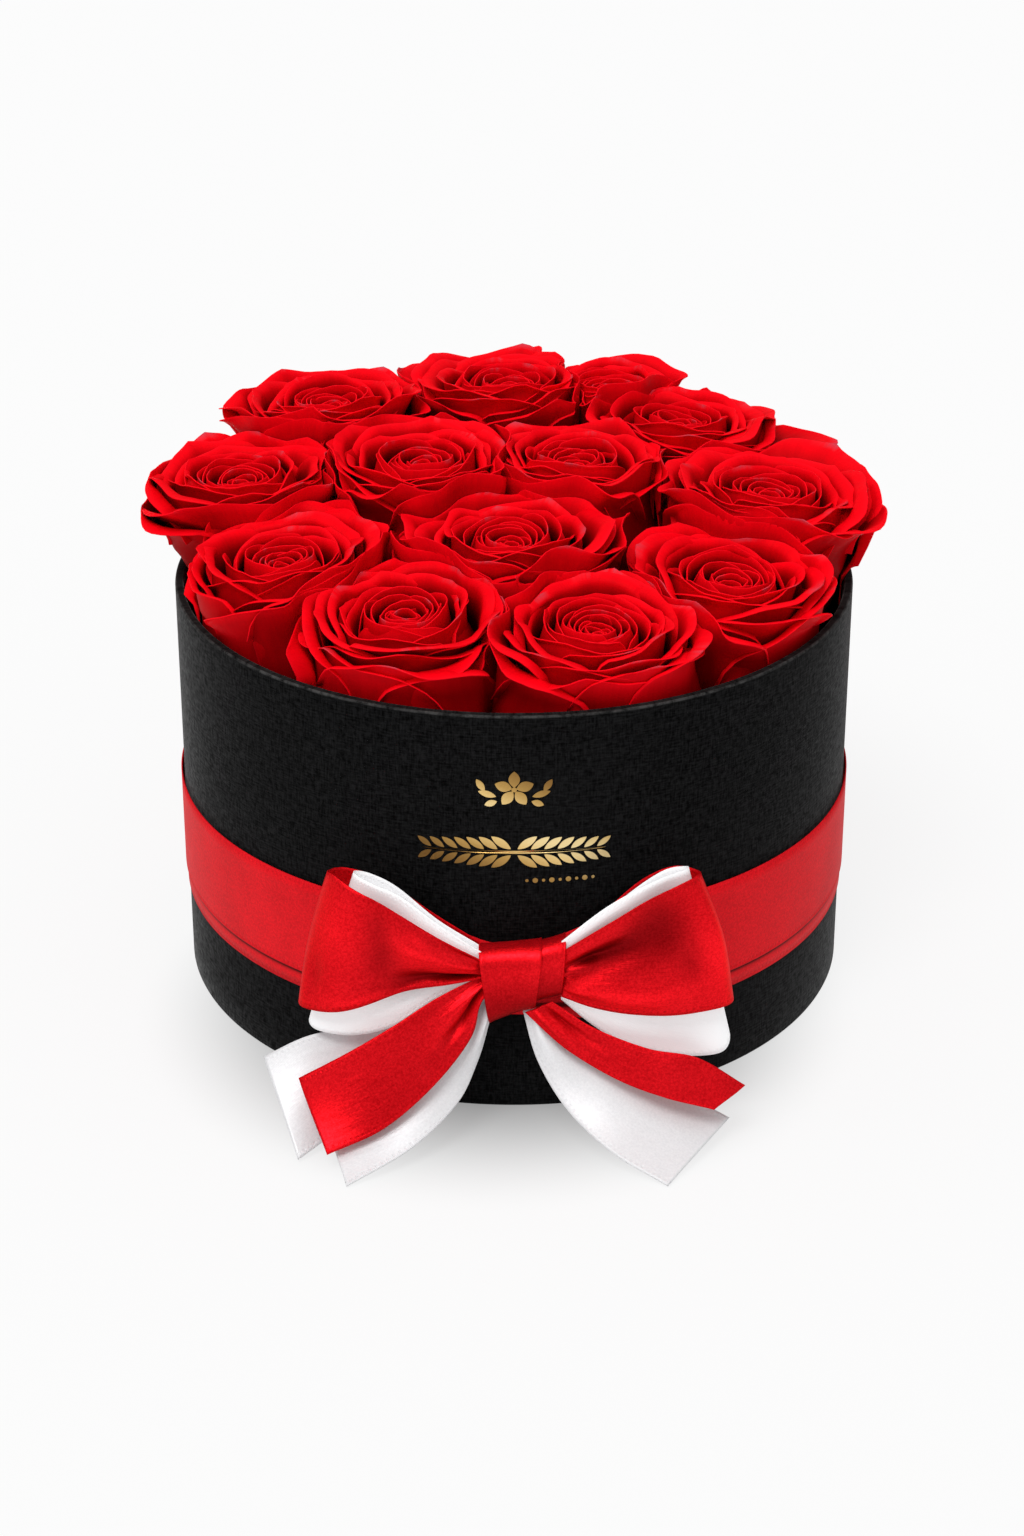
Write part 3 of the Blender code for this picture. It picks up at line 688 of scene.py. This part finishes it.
def neighbours(index, openings):
    """For each nearby rose: a point on the seam, the direction to the rose, which one is first, and a key."""
    own = openings[index][:2]
    found = []
    for k, other in enumerate(openings):
        gap = other[:2] - own
        distance = np.linalg.norm(gap)
        if k != index and distance < NEXT_ROSE:
            share = size_of(ROSES[index]) / (size_of(ROSES[index]) + size_of(ROSES[k]))
            found.append((own + gap * share, gap / distance, 1 if index < k else -1, index + k))
    return found


def press(beyond):
    """Soft limit on how far beyond a line something lies."""
    soft = SLOW_DOWN - FULL_STOP
    shifted = beyond + FULL_STOP
    slowed = -soft * np.exp(-np.maximum(shifted + soft, 0) / soft)
    return np.where(shifted > -soft, slowed, shifted) - FULL_STOP


def keep_in_place(points, near):
    """Press petals against the seams to the next roses, and against the box's wall."""
    flat = points[..., :2]
    for middle, direction, first, key in near:
        ahead = (flat - middle) @ direction
        along = (flat - middle) @ (np.array((-direction[1], direction[0])) * first)
        beyond = ahead - SEAM_WAVE * np.sin(along / SEAM_PITCH + 1.9 * key) * first
        flat = flat + (press(beyond) - beyond)[..., None] * direction
    z = points[..., 2]
    reach = np.maximum(np.linalg.norm(flat, axis=-1), 1e-9)
    front = smooth((-flat[..., 1] / reach - 0.30) / 0.50)
    spread = SPREAD_BACK + (SPREAD_FRONT - SPREAD_BACK) * front
    free = INNER_RADIUS - CLEAR + spread * smooth((z - RIM - CLEAR) / SPREAD_HEIGHT)
    flat = flat * ((free + press(reach - free)) / reach)[..., None]
    return np.concatenate((flat, z[..., None]), axis=-1)


def petal_rows(radius):
    """Rows and columns of a petal's grid."""
    rows, cols = (22, 23) if radius < SMALL_PETAL else (30, 31)
    return ((rows, cols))


def build_head(index, rose, opening, stem, near, mat):
    """All petals of a rose: they stand round a slightly tilted axis and their feet meet over the stem."""
    rng = np.random.default_rng(400 + index)
    outer = number_of(rose) <= OUTER_ROSES
    tilt = MOUTH_TILT if outer else rng.uniform(-0.03, 0.05)
    out = np.array((opening[0], opening[1], 0.0)) / np.linalg.norm(opening[:2])
    side = np.cross((0, 0, 1.0), out)
    axis = np.array((0, 0, 1.0)) * math.cos(tilt) + out * math.sin(tilt)
    ahead = np.cross(side, axis)
    at_front = outer * smooth((-out[1] - 0.10) / 0.40)
    heading = rng.uniform(0, FULL_TURN)
    hand = 1 if rng.uniform() > 0.4 else -1
    # Where the foot ends up by tilting alone, and what is left to reach the stem
    shift = stem - (opening[:2] - axis[:2] * FOOT_DEPTH)
    pile = Pile()
    for k in range(PETALS):
        share = (k / (PETALS - 1)) ** 1.02
        radius = size_of(rose) * (HEART + (GIRTH - HEART) * share) * rng.uniform(0.97, 1.03)
        facing = heading + hand * GOLDEN_ANGLE * k + rng.uniform(-0.10, 0.10)
        guard = at_front * smooth((math.cos(facing) + 0.1) / 0.6) * smooth((radius - 21 * MM) / (4 * MM))
        if guard > 0.6 and rng.uniform() < GUARD_GAPS:
            continue
        turn, r, up, marks = petal_shape(radius, guard, rng, *petal_rows(radius))
        angle = facing + hand * turn
        local = (r * np.cos(angle))[..., None] * ahead + (r * np.sin(angle))[..., None] * side
        points = opening + local + up[..., None] * axis
        points[..., :2] += smooth(-up / FOOT_DEPTH)[..., None] * shift
        points = keep_in_place(points, near)
        marks["petal_tip"] = marks["petal_tip"] * (rng.uniform() > 0.6)
        if hand < 0:
            points = points[:, ::-1]
            marks = {key: grid[:, ::-1] for key, grid in marks.items()}
        thick = PETAL_THICKNESS * (0.75 + 0.5 * smooth(marks["petal_edge"] / (3 * MM)))
        pile.add(points, thick, petal_id=k * 1.7 + index, **marks)
    pile.place(rose + "_petals", mat, rose, rose + "_head", "petals")


# The receptacle's outline: radius and height against the calyx
RECEPTACLE = ((0.28, 0.0), (0.58, 0.10), (0.72, 0.28), (0.66, 0.50), (0.62, 0.70), (0.80, 0.88), (0.95, 0.98))


def receptacle(centre, low, tall, wide):
    """The green cup under the petals, as a grid round it."""
    angle = np.linspace(0, FULL_TURN, 33)[::-1]
    lobes = 1 + 0.04 * np.cos(5 * angle)
    r, h = np.array(RECEPTACLE).T[:, :, None]
    out = wide * r * lobes
    return np.stack((centre.x + out * np.cos(angle), centre.y + out * np.sin(angle),
                     low + tall * h + 0 * angle), axis=-1)


def sepal(centre, high, wide, k, rng):
    """One of five pointed leaves that leave the cup, cling to the petals and curl away at the tip."""
    heading = FULL_TURN * k / 5 + rng.uniform(-0.15, 0.15)
    step = rng.uniform(17, 23) * MM / 13
    v = np.linspace(0, 1, 14)[:, None]
    u = np.linspace(-1, 1, 9)[None, :]
    curl = math.radians(rng.uniform(50, 100)) * smooth((v - 0.55) / 0.45)
    lean = math.radians(58) - math.radians(70) * smooth(v / 0.4) + curl
    out = wide * 0.80 + np.cumsum(np.sin(lean) * step, axis=0) + 0 * u
    up = high - 1.6 * MM + np.cumsum(np.cos(lean) * step * 0.55, axis=0) - 1.6 * MM * u ** 2 * (1 - v)
    across = (3.6 * MM * (1 - v) ** 0.7 * (0.6 + 1.1 * v) + 0.2 * MM) * u
    return np.stack((centre.x + out * math.cos(heading) - across * math.sin(heading),
                     centre.y + out * math.sin(heading) + across * math.cos(heading), up), axis=-1)


def build_calyx(index, rose, near, mat):
    """Receptacle and five sepals on the underside of the petals."""
    rng = np.random.default_rng(900 + index)
    low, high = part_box(rose + "_calyx")
    centre = (low + high) / 2
    wide = (high.x - low.x) / 2
    pile = Pile()
    pile.add(keep_in_place(receptacle(centre, low.z, high.z - low.z, wide), near), 0.6 * MM)
    for k in range(5):
        pile.add(keep_in_place(sepal(centre, high.z, wide, k, rng), near), 0.35 * MM)
    pile.place(rose + "_sepals", mat, rose, rose + "_calyx", "sepals")


STALK_RADIUS = 2.0 * MM
SLANT = 2.2 * MM             # half the height of the slanting cut at the stalk's foot


def build_stalk(index, rose, mat):
    """A round stem with a swollen node, faint ribs and a slanting cut at its foot."""
    low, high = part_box(rose + "_stem")
    centre = (low + high) / 2
    levels = np.linspace(0, 1, 26)
    angle = np.linspace(0, FULL_TURN, 24, endpoint=False)
    rings = []
    for level in levels:
        swell = 1 + 0.10 * bell((level - 0.62) / 0.03) + 0.03 * math.sin(17 * level + index)
        r = STALK_RADIUS * swell * (1 + 0.035 * np.cos(5 * angle + 4 * level))
        z = low.z + (high.z - low.z) * level + SLANT * (1 + np.cos(angle)) * max(0.0, 1 - level / 0.12)
        rings.append(np.stack((centre.x + r * np.cos(angle), centre.y + r * np.sin(angle), z), axis=-1))
    count = len(angle)
    top = (len(levels) - 1) * count
    faces = [(ring + i, ring + (i + 1) % count, ring + count + (i + 1) % count, ring + count + i)
             for ring in range(0, top, count) for i in range(count)]
    faces += [tuple(reversed(range(count))), tuple(range(top, top + count))]
    mesh = bpy.data.meshes.new(rose + "_stalk")
    mesh.from_pydata(np.concatenate(rings).tolist(), [], faces)
    mesh.shade_smooth()
    mesh.set_sharp_from_angle(angle=SHARP)
    place_piece(mesh, mat, rose, rose + "_stem")


def build_roses():
    petal = petal_material()
    green = green_material("rose_sepal", (0.030, 0.085, 0.018), (0.075, 0.17, 0.04), 500.0)
    stalk = green_material("rose_stem", (0.045, 0.11, 0.025), (0.10, 0.20, 0.05), 90.0)
    places = [opening_of(rose) for rose in ROSES]
    openings = [opening for opening, _ in places]
    for index, rose in enumerate(ROSES):
        near = neighbours(index, openings)
        build_head(index, rose, *places[index], near, petal)
        build_calyx(index, rose, near, green)
        build_stalk(index, rose, stalk)


# ---------------------------------------------------------------- bow
RIBBON_WIDTH = 38 * MM
RIBBON_THICKNESS = 0.32 * MM
DEEP_FOLD = 3.5 * MM         # a fold this deep gets the full painted shade of a hollow


def spline(points):
    """Points close together along a smooth curve through the given ones."""
    padded = np.vstack((2 * points[0] - points[1], points, 2 * points[-1] - points[-2]))
    t = np.linspace(0, 1, 24, endpoint=False)[:, None]
    pieces = [0.5 * (2 * b + (c - a) * t + (2 * a - 5 * b + 4 * c - d) * t ** 2
                     + (3 * b - a - 3 * c + d) * t ** 3)
              for a, b, c, d in zip(padded, padded[1:], padded[2:], padded[3:])]
    return np.vstack(pieces + [points[-1:]])


def resample(upper, lower, count):
    """Both edges of a ribbon at count stations, even along its middle line, and how far along they lie."""
    steps = np.linalg.norm(np.diff((upper + lower) / 2, axis=0), axis=1)
    length = np.concatenate(((0,), np.cumsum(steps)))
    at = np.linspace(0, length[-1], count)
    upper, lower = (np.stack([np.interp(at, length, curve[:, k]) for k in range(3)], axis=-1)
                    for curve in (upper, lower))
    return upper, lower, at


def pleat(s, w, start, end, depth, reach, breadth):
    """A fold that runs from the knot, between two places across the ribbon, and dies out at its reach."""
    along = s / (reach * MM)
    line = start + (end - start) * np.minimum(along, 1.0)
    fade = smooth(1.0 - along) * smooth(0.25 + along / 0.25)
    wide = breadth * (0.55 + 0.9 * np.minimum(along, 1.0))
    return depth * MM * fade * bell((w - line) / wide)


def dent(s, w, place, across, depth, length, breadth):
    """A soft hollow (or a swelling, with a positive depth) at one place of the ribbon."""
    return depth * MM * bell((s - place * MM) / (length * MM)) * bell((w - across) / breadth)


def ribbon(name, edges, mat, slot, pleats, dents, bulge, count):
    """A ribbon between an upper and a lower edge line, in millimetres, with folds and hollows."""
    upper, lower = (spline(line) * MM for line in np.hsplit(np.array(edges, float), 2))
    upper, lower, s = resample(upper, lower, count)
    s = s[:, None]
    w = np.linspace(0, 1, 33)[None, :]
    points = upper[:, None, :] * (1 - w)[..., None] + lower[:, None, :] * w[..., None]
    folds = sum((pleat(s, w, *fold) for fold in pleats), 0 * s * w)
    folds = sum((dent(s, w, *hollow) for hollow in dents), folds)
    push = folds + bulge * MM * np.sin(math.pi * w) * smooth(s / (12 * MM))
    # Left and right ribbons start from the knot, so their grids face opposite ways
    outwards = -1.0 if "left" in name else 1.0
    points = points + outwards * grid_normals(points) * push[..., None]
    width = np.linalg.norm(upper - lower, axis=1)[:, None]
    edge = np.minimum(w, 1 - w) * np.maximum(width, 20 * MM)
    pile = Pile()
    # strip_fold sets the painted shade in the folds' hollows and the painted highlight on their ridges
    pile.add(points, RIBBON_THICKNESS, strip_s=s, strip_w=w * RIBBON_WIDTH, strip_edge=edge,
             strip_fold=folds / DEEP_FOLD)
    pile.place(name, mat, "box", "bow_" + name, slot)


# Stations of each ribbon from the knot outwards: x, y, z of its upper edge and of its lower edge, in mm
EDGES = {
    "red_loop_left": (
        (-8.5, -112.2, 55.0, -8.5, -112.0, 49.4), (-20, -114.2, 62.8, -18, -114.4, 48.6),
        (-31, -115.0, 71.0, -30.5, -116.0, 47.0), (-42, -113.4, 77.4, -48, -114.6, 40.6),
        (-49, -107.5, 79.4, -58.5, -109.5, 38.6), (-51.0, -101.8, 77.8, -59.4, -103.0, 38.8),
        (-46, -98.0, 76.5, -53, -98.0, 41.0), (-36, -98.6, 73.0, -38, -98.8, 44.0),
        (-22, -101.8, 64.0, -22, -101.8, 48.5), (-8.5, -104.6, 56.0, -8.5, -104.6, 48.0),
    ),
    "white_loop_left": (
        (-8.5, -110.6, 56.6, -8.5, -110.4, 46.5), (-20.5, -112.0, 66.4, -20.5, -112.0, 43.6),
        (-30.5, -112.3, 75.0, -33, -112.8, 34.8), (-38, -110.8, 78.0, -45, -111.4, 30.8),
        (-43.0, -106.5, 78.8, -55.8, -107.3, 30.4), (-43.5, -102.4, 78.0, -56.4, -102.5, 33.0),
        (-39, -100.8, 76.0, -47, -100.0, 38.0), (-32, -101.2, 72.0, -34, -101.0, 42.0),
        (-21, -103.8, 63.2, -21, -103.8, 46.5), (-8.5, -106.5, 56.0, -8.5, -106.5, 48.0),
    ),
    "red_loop_right": (
        (13.0, -112.2, 58.0, 13.0, -112.0, 43.6), (24, -114.2, 66.8, 22, -114.6, 41.6),
        (34, -115.0, 73.8, 33, -116.0, 40.4), (43, -113.4, 78.2, 46, -115.0, 39.6),
        (49.5, -107.5, 79.2, 59, -109.8, 39.5), (50.5, -101.6, 77.6, 60.4, -103.0, 39.4),
        (44, -98.0, 77.0, 53, -97.6, 41.0), (35, -98.8, 73.0, 38, -98.8, 44.0),
        (24, -101.6, 64.0, 25, -101.6, 48.5), (13.0, -104.2, 57.0, 13.0, -104.2, 47.0),
    ),
    "white_loop_right": (
        (13.0, -110.6, 60.4, 13.0, -110.4, 41.8), (24, -112.0, 71.0, 22, -112.2, 34.4),
        (33, -112.3, 77.2, 32, -112.8, 28.2), (41, -110.6, 80.2, 45, -111.4, 24.2),
        (46.8, -106.4, 80.6, 58.6, -107.2, 22.9), (47.0, -102.4, 79.4, 59.4, -102.2, 29.0),
        (41, -100.6, 77.0, 48, -99.8, 36.0), (32, -101.2, 70.5, 35, -101.0, 41.5),
        (23, -103.4, 62.5, 23, -103.4, 46.0), (13.0, -106.2, 57.0, 13.0, -106.2, 47.5),
    ),
    "red_tail_left": (
        (-5.5, -109.8, 49.6, -5.5, -109.8, 46.0), (-12.0, -111.8, 48.4, -9.4, -111.4, 41.5),
        (-22.0, -115.0, 44.4, -12.2, -114.8, 31.8), (-33.5, -118.0, 37.6, -22.0, -122.4, 21.4),
        (-46.5, -118.6, 29.2, -36.0, -129.2, 11.4), (-60.0, -116.4, 19.8, -51.6, -134.0, 6.0),
    ),
    "white_tail_left_inner": (
        (-5.0, -108.6, 47.0, -4.6, -108.6, 43.0), (-9.8, -109.8, 42.6, -7.0, -109.4, 33.6),
        (-14.5, -112.6, 32.6, -10.2, -112.5, 23.0), (-24.5, -117.2, 22.4, -16.0, -120.2, 13.6),
        (-38.5, -119.6, 13.2, -28.5, -131.0, 6.0), (-52.0, -121.0, 6.0, -46.0, -141.6, 0.7),
    ),
    "white_tail_left_outer": (
        (-7.0, -108.4, 43.0, -5.5, -108.2, 37.0), (-26, -108.6, 37.5, -18, -109.3, 23.5),
        (-44, -106.8, 30.9, -34, -112.2, 12.0), (-58, -105.2, 26.6, -48, -119.0, 5.0),
        (-70.5, -105.5, 20.0, -60, -129.0, 1.0),
    ),
    "red_tail_right": (
        (10.5, -112.0, 42.0, 3.0, -112.0, 38.5), (22, -115.2, 35.5, 14.5, -116.0, 29.0),
        (37, -118.0, 30.5, 28.5, -120.6, 22.0), (51, -118.0, 27.4, 42.0, -123.2, 17.6),
        (64.6, -114.2, 16.0, 55.6, -123.0, 13.6),
    ),
    "white_tail_right": (
        (11.0, -110.0, 40.0, 2.4, -109.6, 37.6), (20, -111.5, 31.5, 6.6, -113.6, 23.6),
        (33, -112.6, 23.5, 15.0, -122.8, 13.0), (47, -113.6, 13.5, 27.5, -133.6, 6.0),
        (60.4, -115.8, 6.2, 42.2, -141.4, 0.7),
    ),
}
# Folds: place across at the knot and at their end, depth and reach in mm, breadth
LOOP_PLEATS_LEFT = ((0.86, 0.80, -5.0, 36, 0.12), (0.44, 0.34, 1.8, 30, 0.18), (0.10, 0.08, -1.2, 30, 0.07))
LOOP_PLEATS_RIGHT = ((0.40, 0.32, -5.2, 46, 0.17), (0.76, 0.74, 2.4, 34, 0.14), (0.58, 0.50, -1.4, 20, 0.05))
UNDER_PLEATS_LEFT = ((0.76, 0.56, -6.0, 38, 0.16),)
UNDER_PLEATS_RIGHT = ((0.34, 0.24, -6.2, 48, 0.16),)
TAIL_PLEATS_LEFT = ((0.66, 0.70, -3.2, 34, 0.09), (0.36, 0.42, 2.0, 34, 0.14), (0.90, 0.90, 1.6, 26, 0.08))
TAIL_PLEATS_RIGHT = ((0.35, 0.42, -1.8, 30, 0.14), (0.72, 0.72, 1.4, 26, 0.14))
# Hollows and swellings: place along in mm, place across, depth in mm, length in mm, breadth
LOOP_DENTS_LEFT = ((23, 0.90, -1.6, 7, 0.11), (29, 0.56, -2.2, 5, 0.24), (31, 0.22, -1.5, 5, 0.18),
                   (20, 0.34, 1.6, 6, 0.18), (41, 0.28, 1.4, 6, 0.26), (34, 0.92, 1.6, 8, 0.09),
                   (47, 0.74, -1.1, 3, 0.16))
LOOP_DENTS_RIGHT = ((26, 0.14, -1.8, 9, 0.16), (33, 0.34, -1.4, 8, 0.18), (24, 0.82, 1.8, 10, 0.12),
                    (44, 0.50, 2.0, 4, 0.34), (37, 0.58, -1.4, 5, 0.14))
UNDER_DENTS = ((30, 0.36, -2.6, 8, 0.26), (23, 0.60, -1.6, 8, 0.14))


def build_bow():
    red = satin_material("red_satin", (0.98, 0.011, 0.019), (0.44, 0.001, 0.003), 0.37, 0.70, 0.30,
                         wrinkle=0.26)
    white = satin_material("white_satin", (0.79, 0.79, 0.80), (0.65, 0.65, 0.665), 0.42, 0.15, 0.66,
                           wrinkle=0.22)
    # The loops get a brighter copy of the white satin with a painted glow, standing in for light that soaks
    # through the thin satin and back and forth inside the loops
    lit = satin_material("white_loop_satin_painted_glow", (0.92, 0.92, 0.93), (0.82, 0.82, 0.83), 0.42, 0.15, 0.74,
                         wrinkle=0.22, glow=0.22)
    ribbons = (
        ("red_loop_left", red, LOOP_PLEATS_LEFT, LOOP_DENTS_LEFT, 1.2),
        ("red_loop_right", red, LOOP_PLEATS_RIGHT, LOOP_DENTS_RIGHT, 1.2),
        ("white_loop_left", lit, UNDER_PLEATS_LEFT, UNDER_DENTS, 0.3),
        ("white_loop_right", lit, UNDER_PLEATS_RIGHT, UNDER_DENTS, 0.3),
        ("red_tail_left", red, TAIL_PLEATS_LEFT, (), 0.6),
        ("red_tail_right", red, TAIL_PLEATS_RIGHT, (), 0.6),
        ("white_tail_left_inner", white, TAIL_PLEATS_RIGHT, (), 0.5),
        ("white_tail_left_outer", white, (), (), 0.5),
        ("white_tail_right", white, TAIL_PLEATS_RIGHT, (), 0.5),
    )
    for name, mat, pleats, dents, bulge in ribbons:
        slot = "red_satin" if mat is red else "white_satin"
        count = 120 if "loop" in name else 84
        ribbon(name, EDGES[name], mat, slot, pleats, dents, bulge, count)
    build_knot(red)


# Wraps of the knot: top and bottom corner (across, height) of the left and right side, and depth, in mm
KNOT_WRAPS = (
    (((-9.8, 57.0), (-6.8, 34.6)), ((7.7, 58.6), (5.8, 40.2)), 6.3),
    (((6.2, 58.0), (4.8, 41.0)), ((14.2, 60.6), (13.0, 43.5)), 5.2),
)
KNOT_THICKNESS = 0.5 * MM
KNOT_ROUND = 70 * MM         # length of ribbon in one turn round the knot


def squarish(wave):
    """A sine or cosine with flatter tops, which turns a circle into a rounded box."""
    return np.sign(wave) * np.abs(wave) ** 0.70


def knot_wrap(left, right, depth, middle):
    """Points of a sleeve round the middle of the bow, and each point's place round it and across it."""
    around = np.linspace(0, 1, 73)[:, None]
    across = np.linspace(0, 1, 21)[None, :]
    angle = FULL_TURN * around + math.pi
    top, bottom = ([a + (b - a) * across for a, b in zip(left[end], right[end])] for end in (0, 1))
    x, z = ((a + b) / 2 + (a - b) / 2 * squarish(np.sin(angle)) for a, b in zip(top, bottom))
    sag = 1 - 0.07 * np.sin(math.pi * across) + 0.05 * np.sin(3 * angle) * (across - 0.5)
    edge_roll = 0.5 * bell(np.minimum(across, 1 - across) / 0.05)
    y = middle / MM - (depth * sag + edge_roll) * squarish(np.cos(angle))
    return np.stack((x, y, z), axis=-1) * MM, around, across


def build_knot(mat):
    """The ribbon that wraps the middle of the bow twice, the second turn showing as a strip at the right."""
    low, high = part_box("bow_knot")
    pile = Pile()
    for left, right, depth in KNOT_WRAPS:
        points, around, across = knot_wrap(left, right, depth, (low.y + high.y) / 2)
        wide = (right[0][0] - left[0][0]) * MM
        # Painted shade and highlight: lighter towards the top, darker towards the bottom and on the strip
        # that lies lower
        shade = np.clip((points[..., 2] / MM - 52) / 14, -0.7, 0.4) - 0.25 * (depth < 6)
        pile.add(points, KNOT_THICKNESS, strip_s=around * KNOT_ROUND, strip_w=across * wide, strip_edge=1.0,
                 strip_fold=shade)
    pile.place("knot_sleeve", mat, "box", "bow_knot", "red_satin")


# ---------------------------------------------------------------- foil
FOIL_INNER = BOX_RADIUS + 0.02 * MM
FOIL_OUTER = BOX_RADIUS + 0.16 * MM
ROSETTE_HEIGHT = 101.8
SPRIG_HEIGHT = 82.5
DOTS_HEIGHT = 73.6
# Leaves beside the blossom: place across and height from its middle, length, and angle
ROSETTE_LEAVES = ((7.4, -1.4, 5.2, 0.30), (9.2, 1.2, 4.2, 1.0), (6.4, -4.2, 3.6, -0.35))


def on_wall(radius, across, height):
    """A point at this radius from the box's axis, in front of the wall."""
    angle = across / BOX_RADIUS
    return (radius * math.sin(angle), -radius * math.cos(angle), height)


def lens(cx, cz, length, width, angle, points=14):
    """A pointed leaf outline round its middle."""
    outline = []
    for side in (1, -1):
        for k in range(points):
            t = k / points
            x = (t - 0.5) * length * side
            z = side * width / 2 * math.sin(math.pi * t) ** 0.8
            outline.append((cx + x * math.cos(angle) - z * math.sin(angle),
                            cz + x * math.sin(angle) + z * math.cos(angle)))
    return outline


def disc(cx, cz, radius, points=20):
    turns = [FULL_TURN * k / points for k in range(points)]
    return [(cx + radius * math.cos(turn), cz + radius * math.sin(turn)) for turn in turns]


def foil(name, outlines, mat, node):
    """Thin raised plates on the front wall, one closed plate for each outline in millimetres."""
    verts = []
    faces = []
    for outline in outlines:
        start = len(verts)
        count = len(outline)
        middle = (sum(x for x, _ in outline) / count, sum(z for _, z in outline) / count)
        for radius in (FOIL_INNER, FOIL_OUTER):
            verts += [on_wall(radius, x * MM, z * MM) for x, z in outline + [middle]]
        hub_in, second = start + count, start + count + 1
        hub_out = second + count
        for i in range(count):
            j = (i + 1) % count
            faces += [(start + j, start + i, hub_in), (second + i, second + j, hub_out),
                      (start + i, start + j, second + j, second + i)]
    mesh = bpy.data.meshes.new(name)
    mesh.from_pydata(verts, [], faces)
    bm = bmesh.new()
    bm.from_mesh(mesh)
    bmesh.ops.recalc_face_normals(bm, faces=bm.faces)
    bm.to_mesh(mesh)
    bm.free()
    place_piece(mesh, mat, "box", node)


def rosette():
    """A five-petal blossom between leaves."""
    outlines = []
    for k in range(5):
        angle = math.pi / 2 + FULL_TURN * k / 5
        outlines.append(lens(3.1 * math.cos(angle), ROSETTE_HEIGHT + 3.1 * math.sin(angle), 4.9, 3.1, angle))
    outlines.append(disc(0, ROSETTE_HEIGHT, 0.75))
    for side in (-1, 1):
        for x, z, length, angle in ROSETTE_LEAVES:
            outlines.append(lens(side * x, ROSETTE_HEIGHT + z, length, 1.9, side * angle))
    return outlines


def sprig():
    """A twig with paired leaves that shrink towards its ends, over a row of dots."""
    outlines = []
    for side in (-1, 1):
        for k in range(7):
            x = side * (3.6 + 3.55 * k)
            for rise in (1, -1):
                outlines.append(lens(x, SPRIG_HEIGHT + rise * (2.9 - 0.16 * k), 6.6 - 0.32 * k, 2.3 - 0.1 * k,
                                     rise * side * 0.62))
    outlines.append(lens(0, SPRIG_HEIGHT, 51.0, 0.9, 0.0, 40))
    for k in range(9):
        outlines.append(disc(3.5 + 2.3 * k, DOTS_HEIGHT, 0.75 if k % 2 else 0.45))
    return outlines


def build_emblem():
    gold = foil_material()
    foil("foil_blossom", rosette(), gold, "foil_rosette")
    foil("foil_sprig_leaves", sprig(), gold, "foil_sprig")


# ---------------------------------------------------------------- studio
FLOOR_SIZE = 4.0
FLOOR_TONE = (0.12, 0.12, 0.1203)
# The floor glows, less so round this point, which paints the soft shadow in front of the box
SHADE_MIDDLE = (-5 * MM, -45 * MM)
SHADE_INNER, SHADE_OUTER = 35 * MM, 110 * MM
GLOW_SHADED, GLOW_OPEN = 0.18, 0.83
# The air glows brightest towards the upper left and dims to the other side; the camera sees it plain white
SKY_SIDE = (-0.50, -0.10, 0.86)
SKY_DIM = 0.20
SKY_BRIGHT = 0.80
SKY_SEEN = 0.96
# Wide suns: name, direction they come from, strength, and width in degrees
SUNS = (
    ("key", (-0.30, -0.60, 1.15), 1.62, 24),
    ("top", (0.25, 0.35, 1.3), 0.35, 70),
    ("fill", (0.80, -0.45, 0.55), 0.36, 60),
)


def build_floor():
    n = Nodes("studio_white")
    x, y, _ = n.split(n.place())
    across, along = n.plus(x, -SHADE_MIDDLE[0]), n.plus(y, -SHADE_MIDDLE[1])
    apart = n.math("SQRT", n.plus(n.math("POWER", across, 2.0), n.math("POWER", along, 2.0)))
    glow = n.grade(apart, SHADE_INNER, SHADE_OUTER, GLOW_SHADED, GLOW_OPEN, interpolation_type="SMOOTHSTEP")
    n.shade(Base_Color=FLOOR_TONE, Roughness=0.9, Specular_IOR_Level=0.0,
            Emission_Color=(1.0, 1.0, 1.0), Emission_Strength=glow)
    mesh = bpy.data.meshes.new("studio_floor")
    corners = [(x * FLOOR_SIZE, y * FLOOR_SIZE, 0) for x, y in ((-1, -1), (1, -1), (1, 1), (-1, 1))]
    mesh.from_pydata(corners, [], [(0, 1, 2, 3)])
    mesh.materials.append(n.made)
    add_object("studio_floor", mesh)


def build_air():
    n = Nodes("studio_air", world=True)
    direction = n.node("ShaderNodeTexCoord").outputs["Generated"]
    facing = n.node("ShaderNodeVectorMath", {0: direction, 1: SKY_SIDE}, operation="DOT_PRODUCT")
    level = n.grade(facing.outputs["Value"], -0.1, 1.0, SKY_DIM, SKY_BRIGHT)
    seen = n.node("ShaderNodeLightPath").outputs["Is Camera Ray"]
    strength = n.node("ShaderNodeMix", {"Factor": seen, "A": level, "B": SKY_SEEN}).outputs["Result"]
    n.shade(Color=(1.0, 1.0, 1.0), Strength=strength)
    bpy.context.scene.world = n.made


def build_suns():
    for name, place, strength, width in SUNS:
        data = bpy.data.lights.new(name + "_softbox", "SUN")
        data.energy = strength
        data.angle = math.radians(width)
        lamp = add_object(name + "_softbox", data)
        lamp.location = place
        lamp.rotation_euler = (-Vector(place)).to_track_quat("-Z", "Y").to_euler()


def build_camera():
    data = bpy.data.cameras.new("camera")
    data.lens = 75.0
    data.sensor_width = 36.0
    camera = add_object("camera", data)
    camera.location = (-0.0006, -0.8717, 0.5016)
    camera.rotation_euler = (math.radians(63.0), 0, 0)
    bpy.context.scene.camera = camera


bpy.context.scene.view_settings.view_transform = "Standard"
build_box()
build_bands()
build_roses()
build_bow()
build_emblem()
build_floor()
build_air()
build_suns()
build_camera()
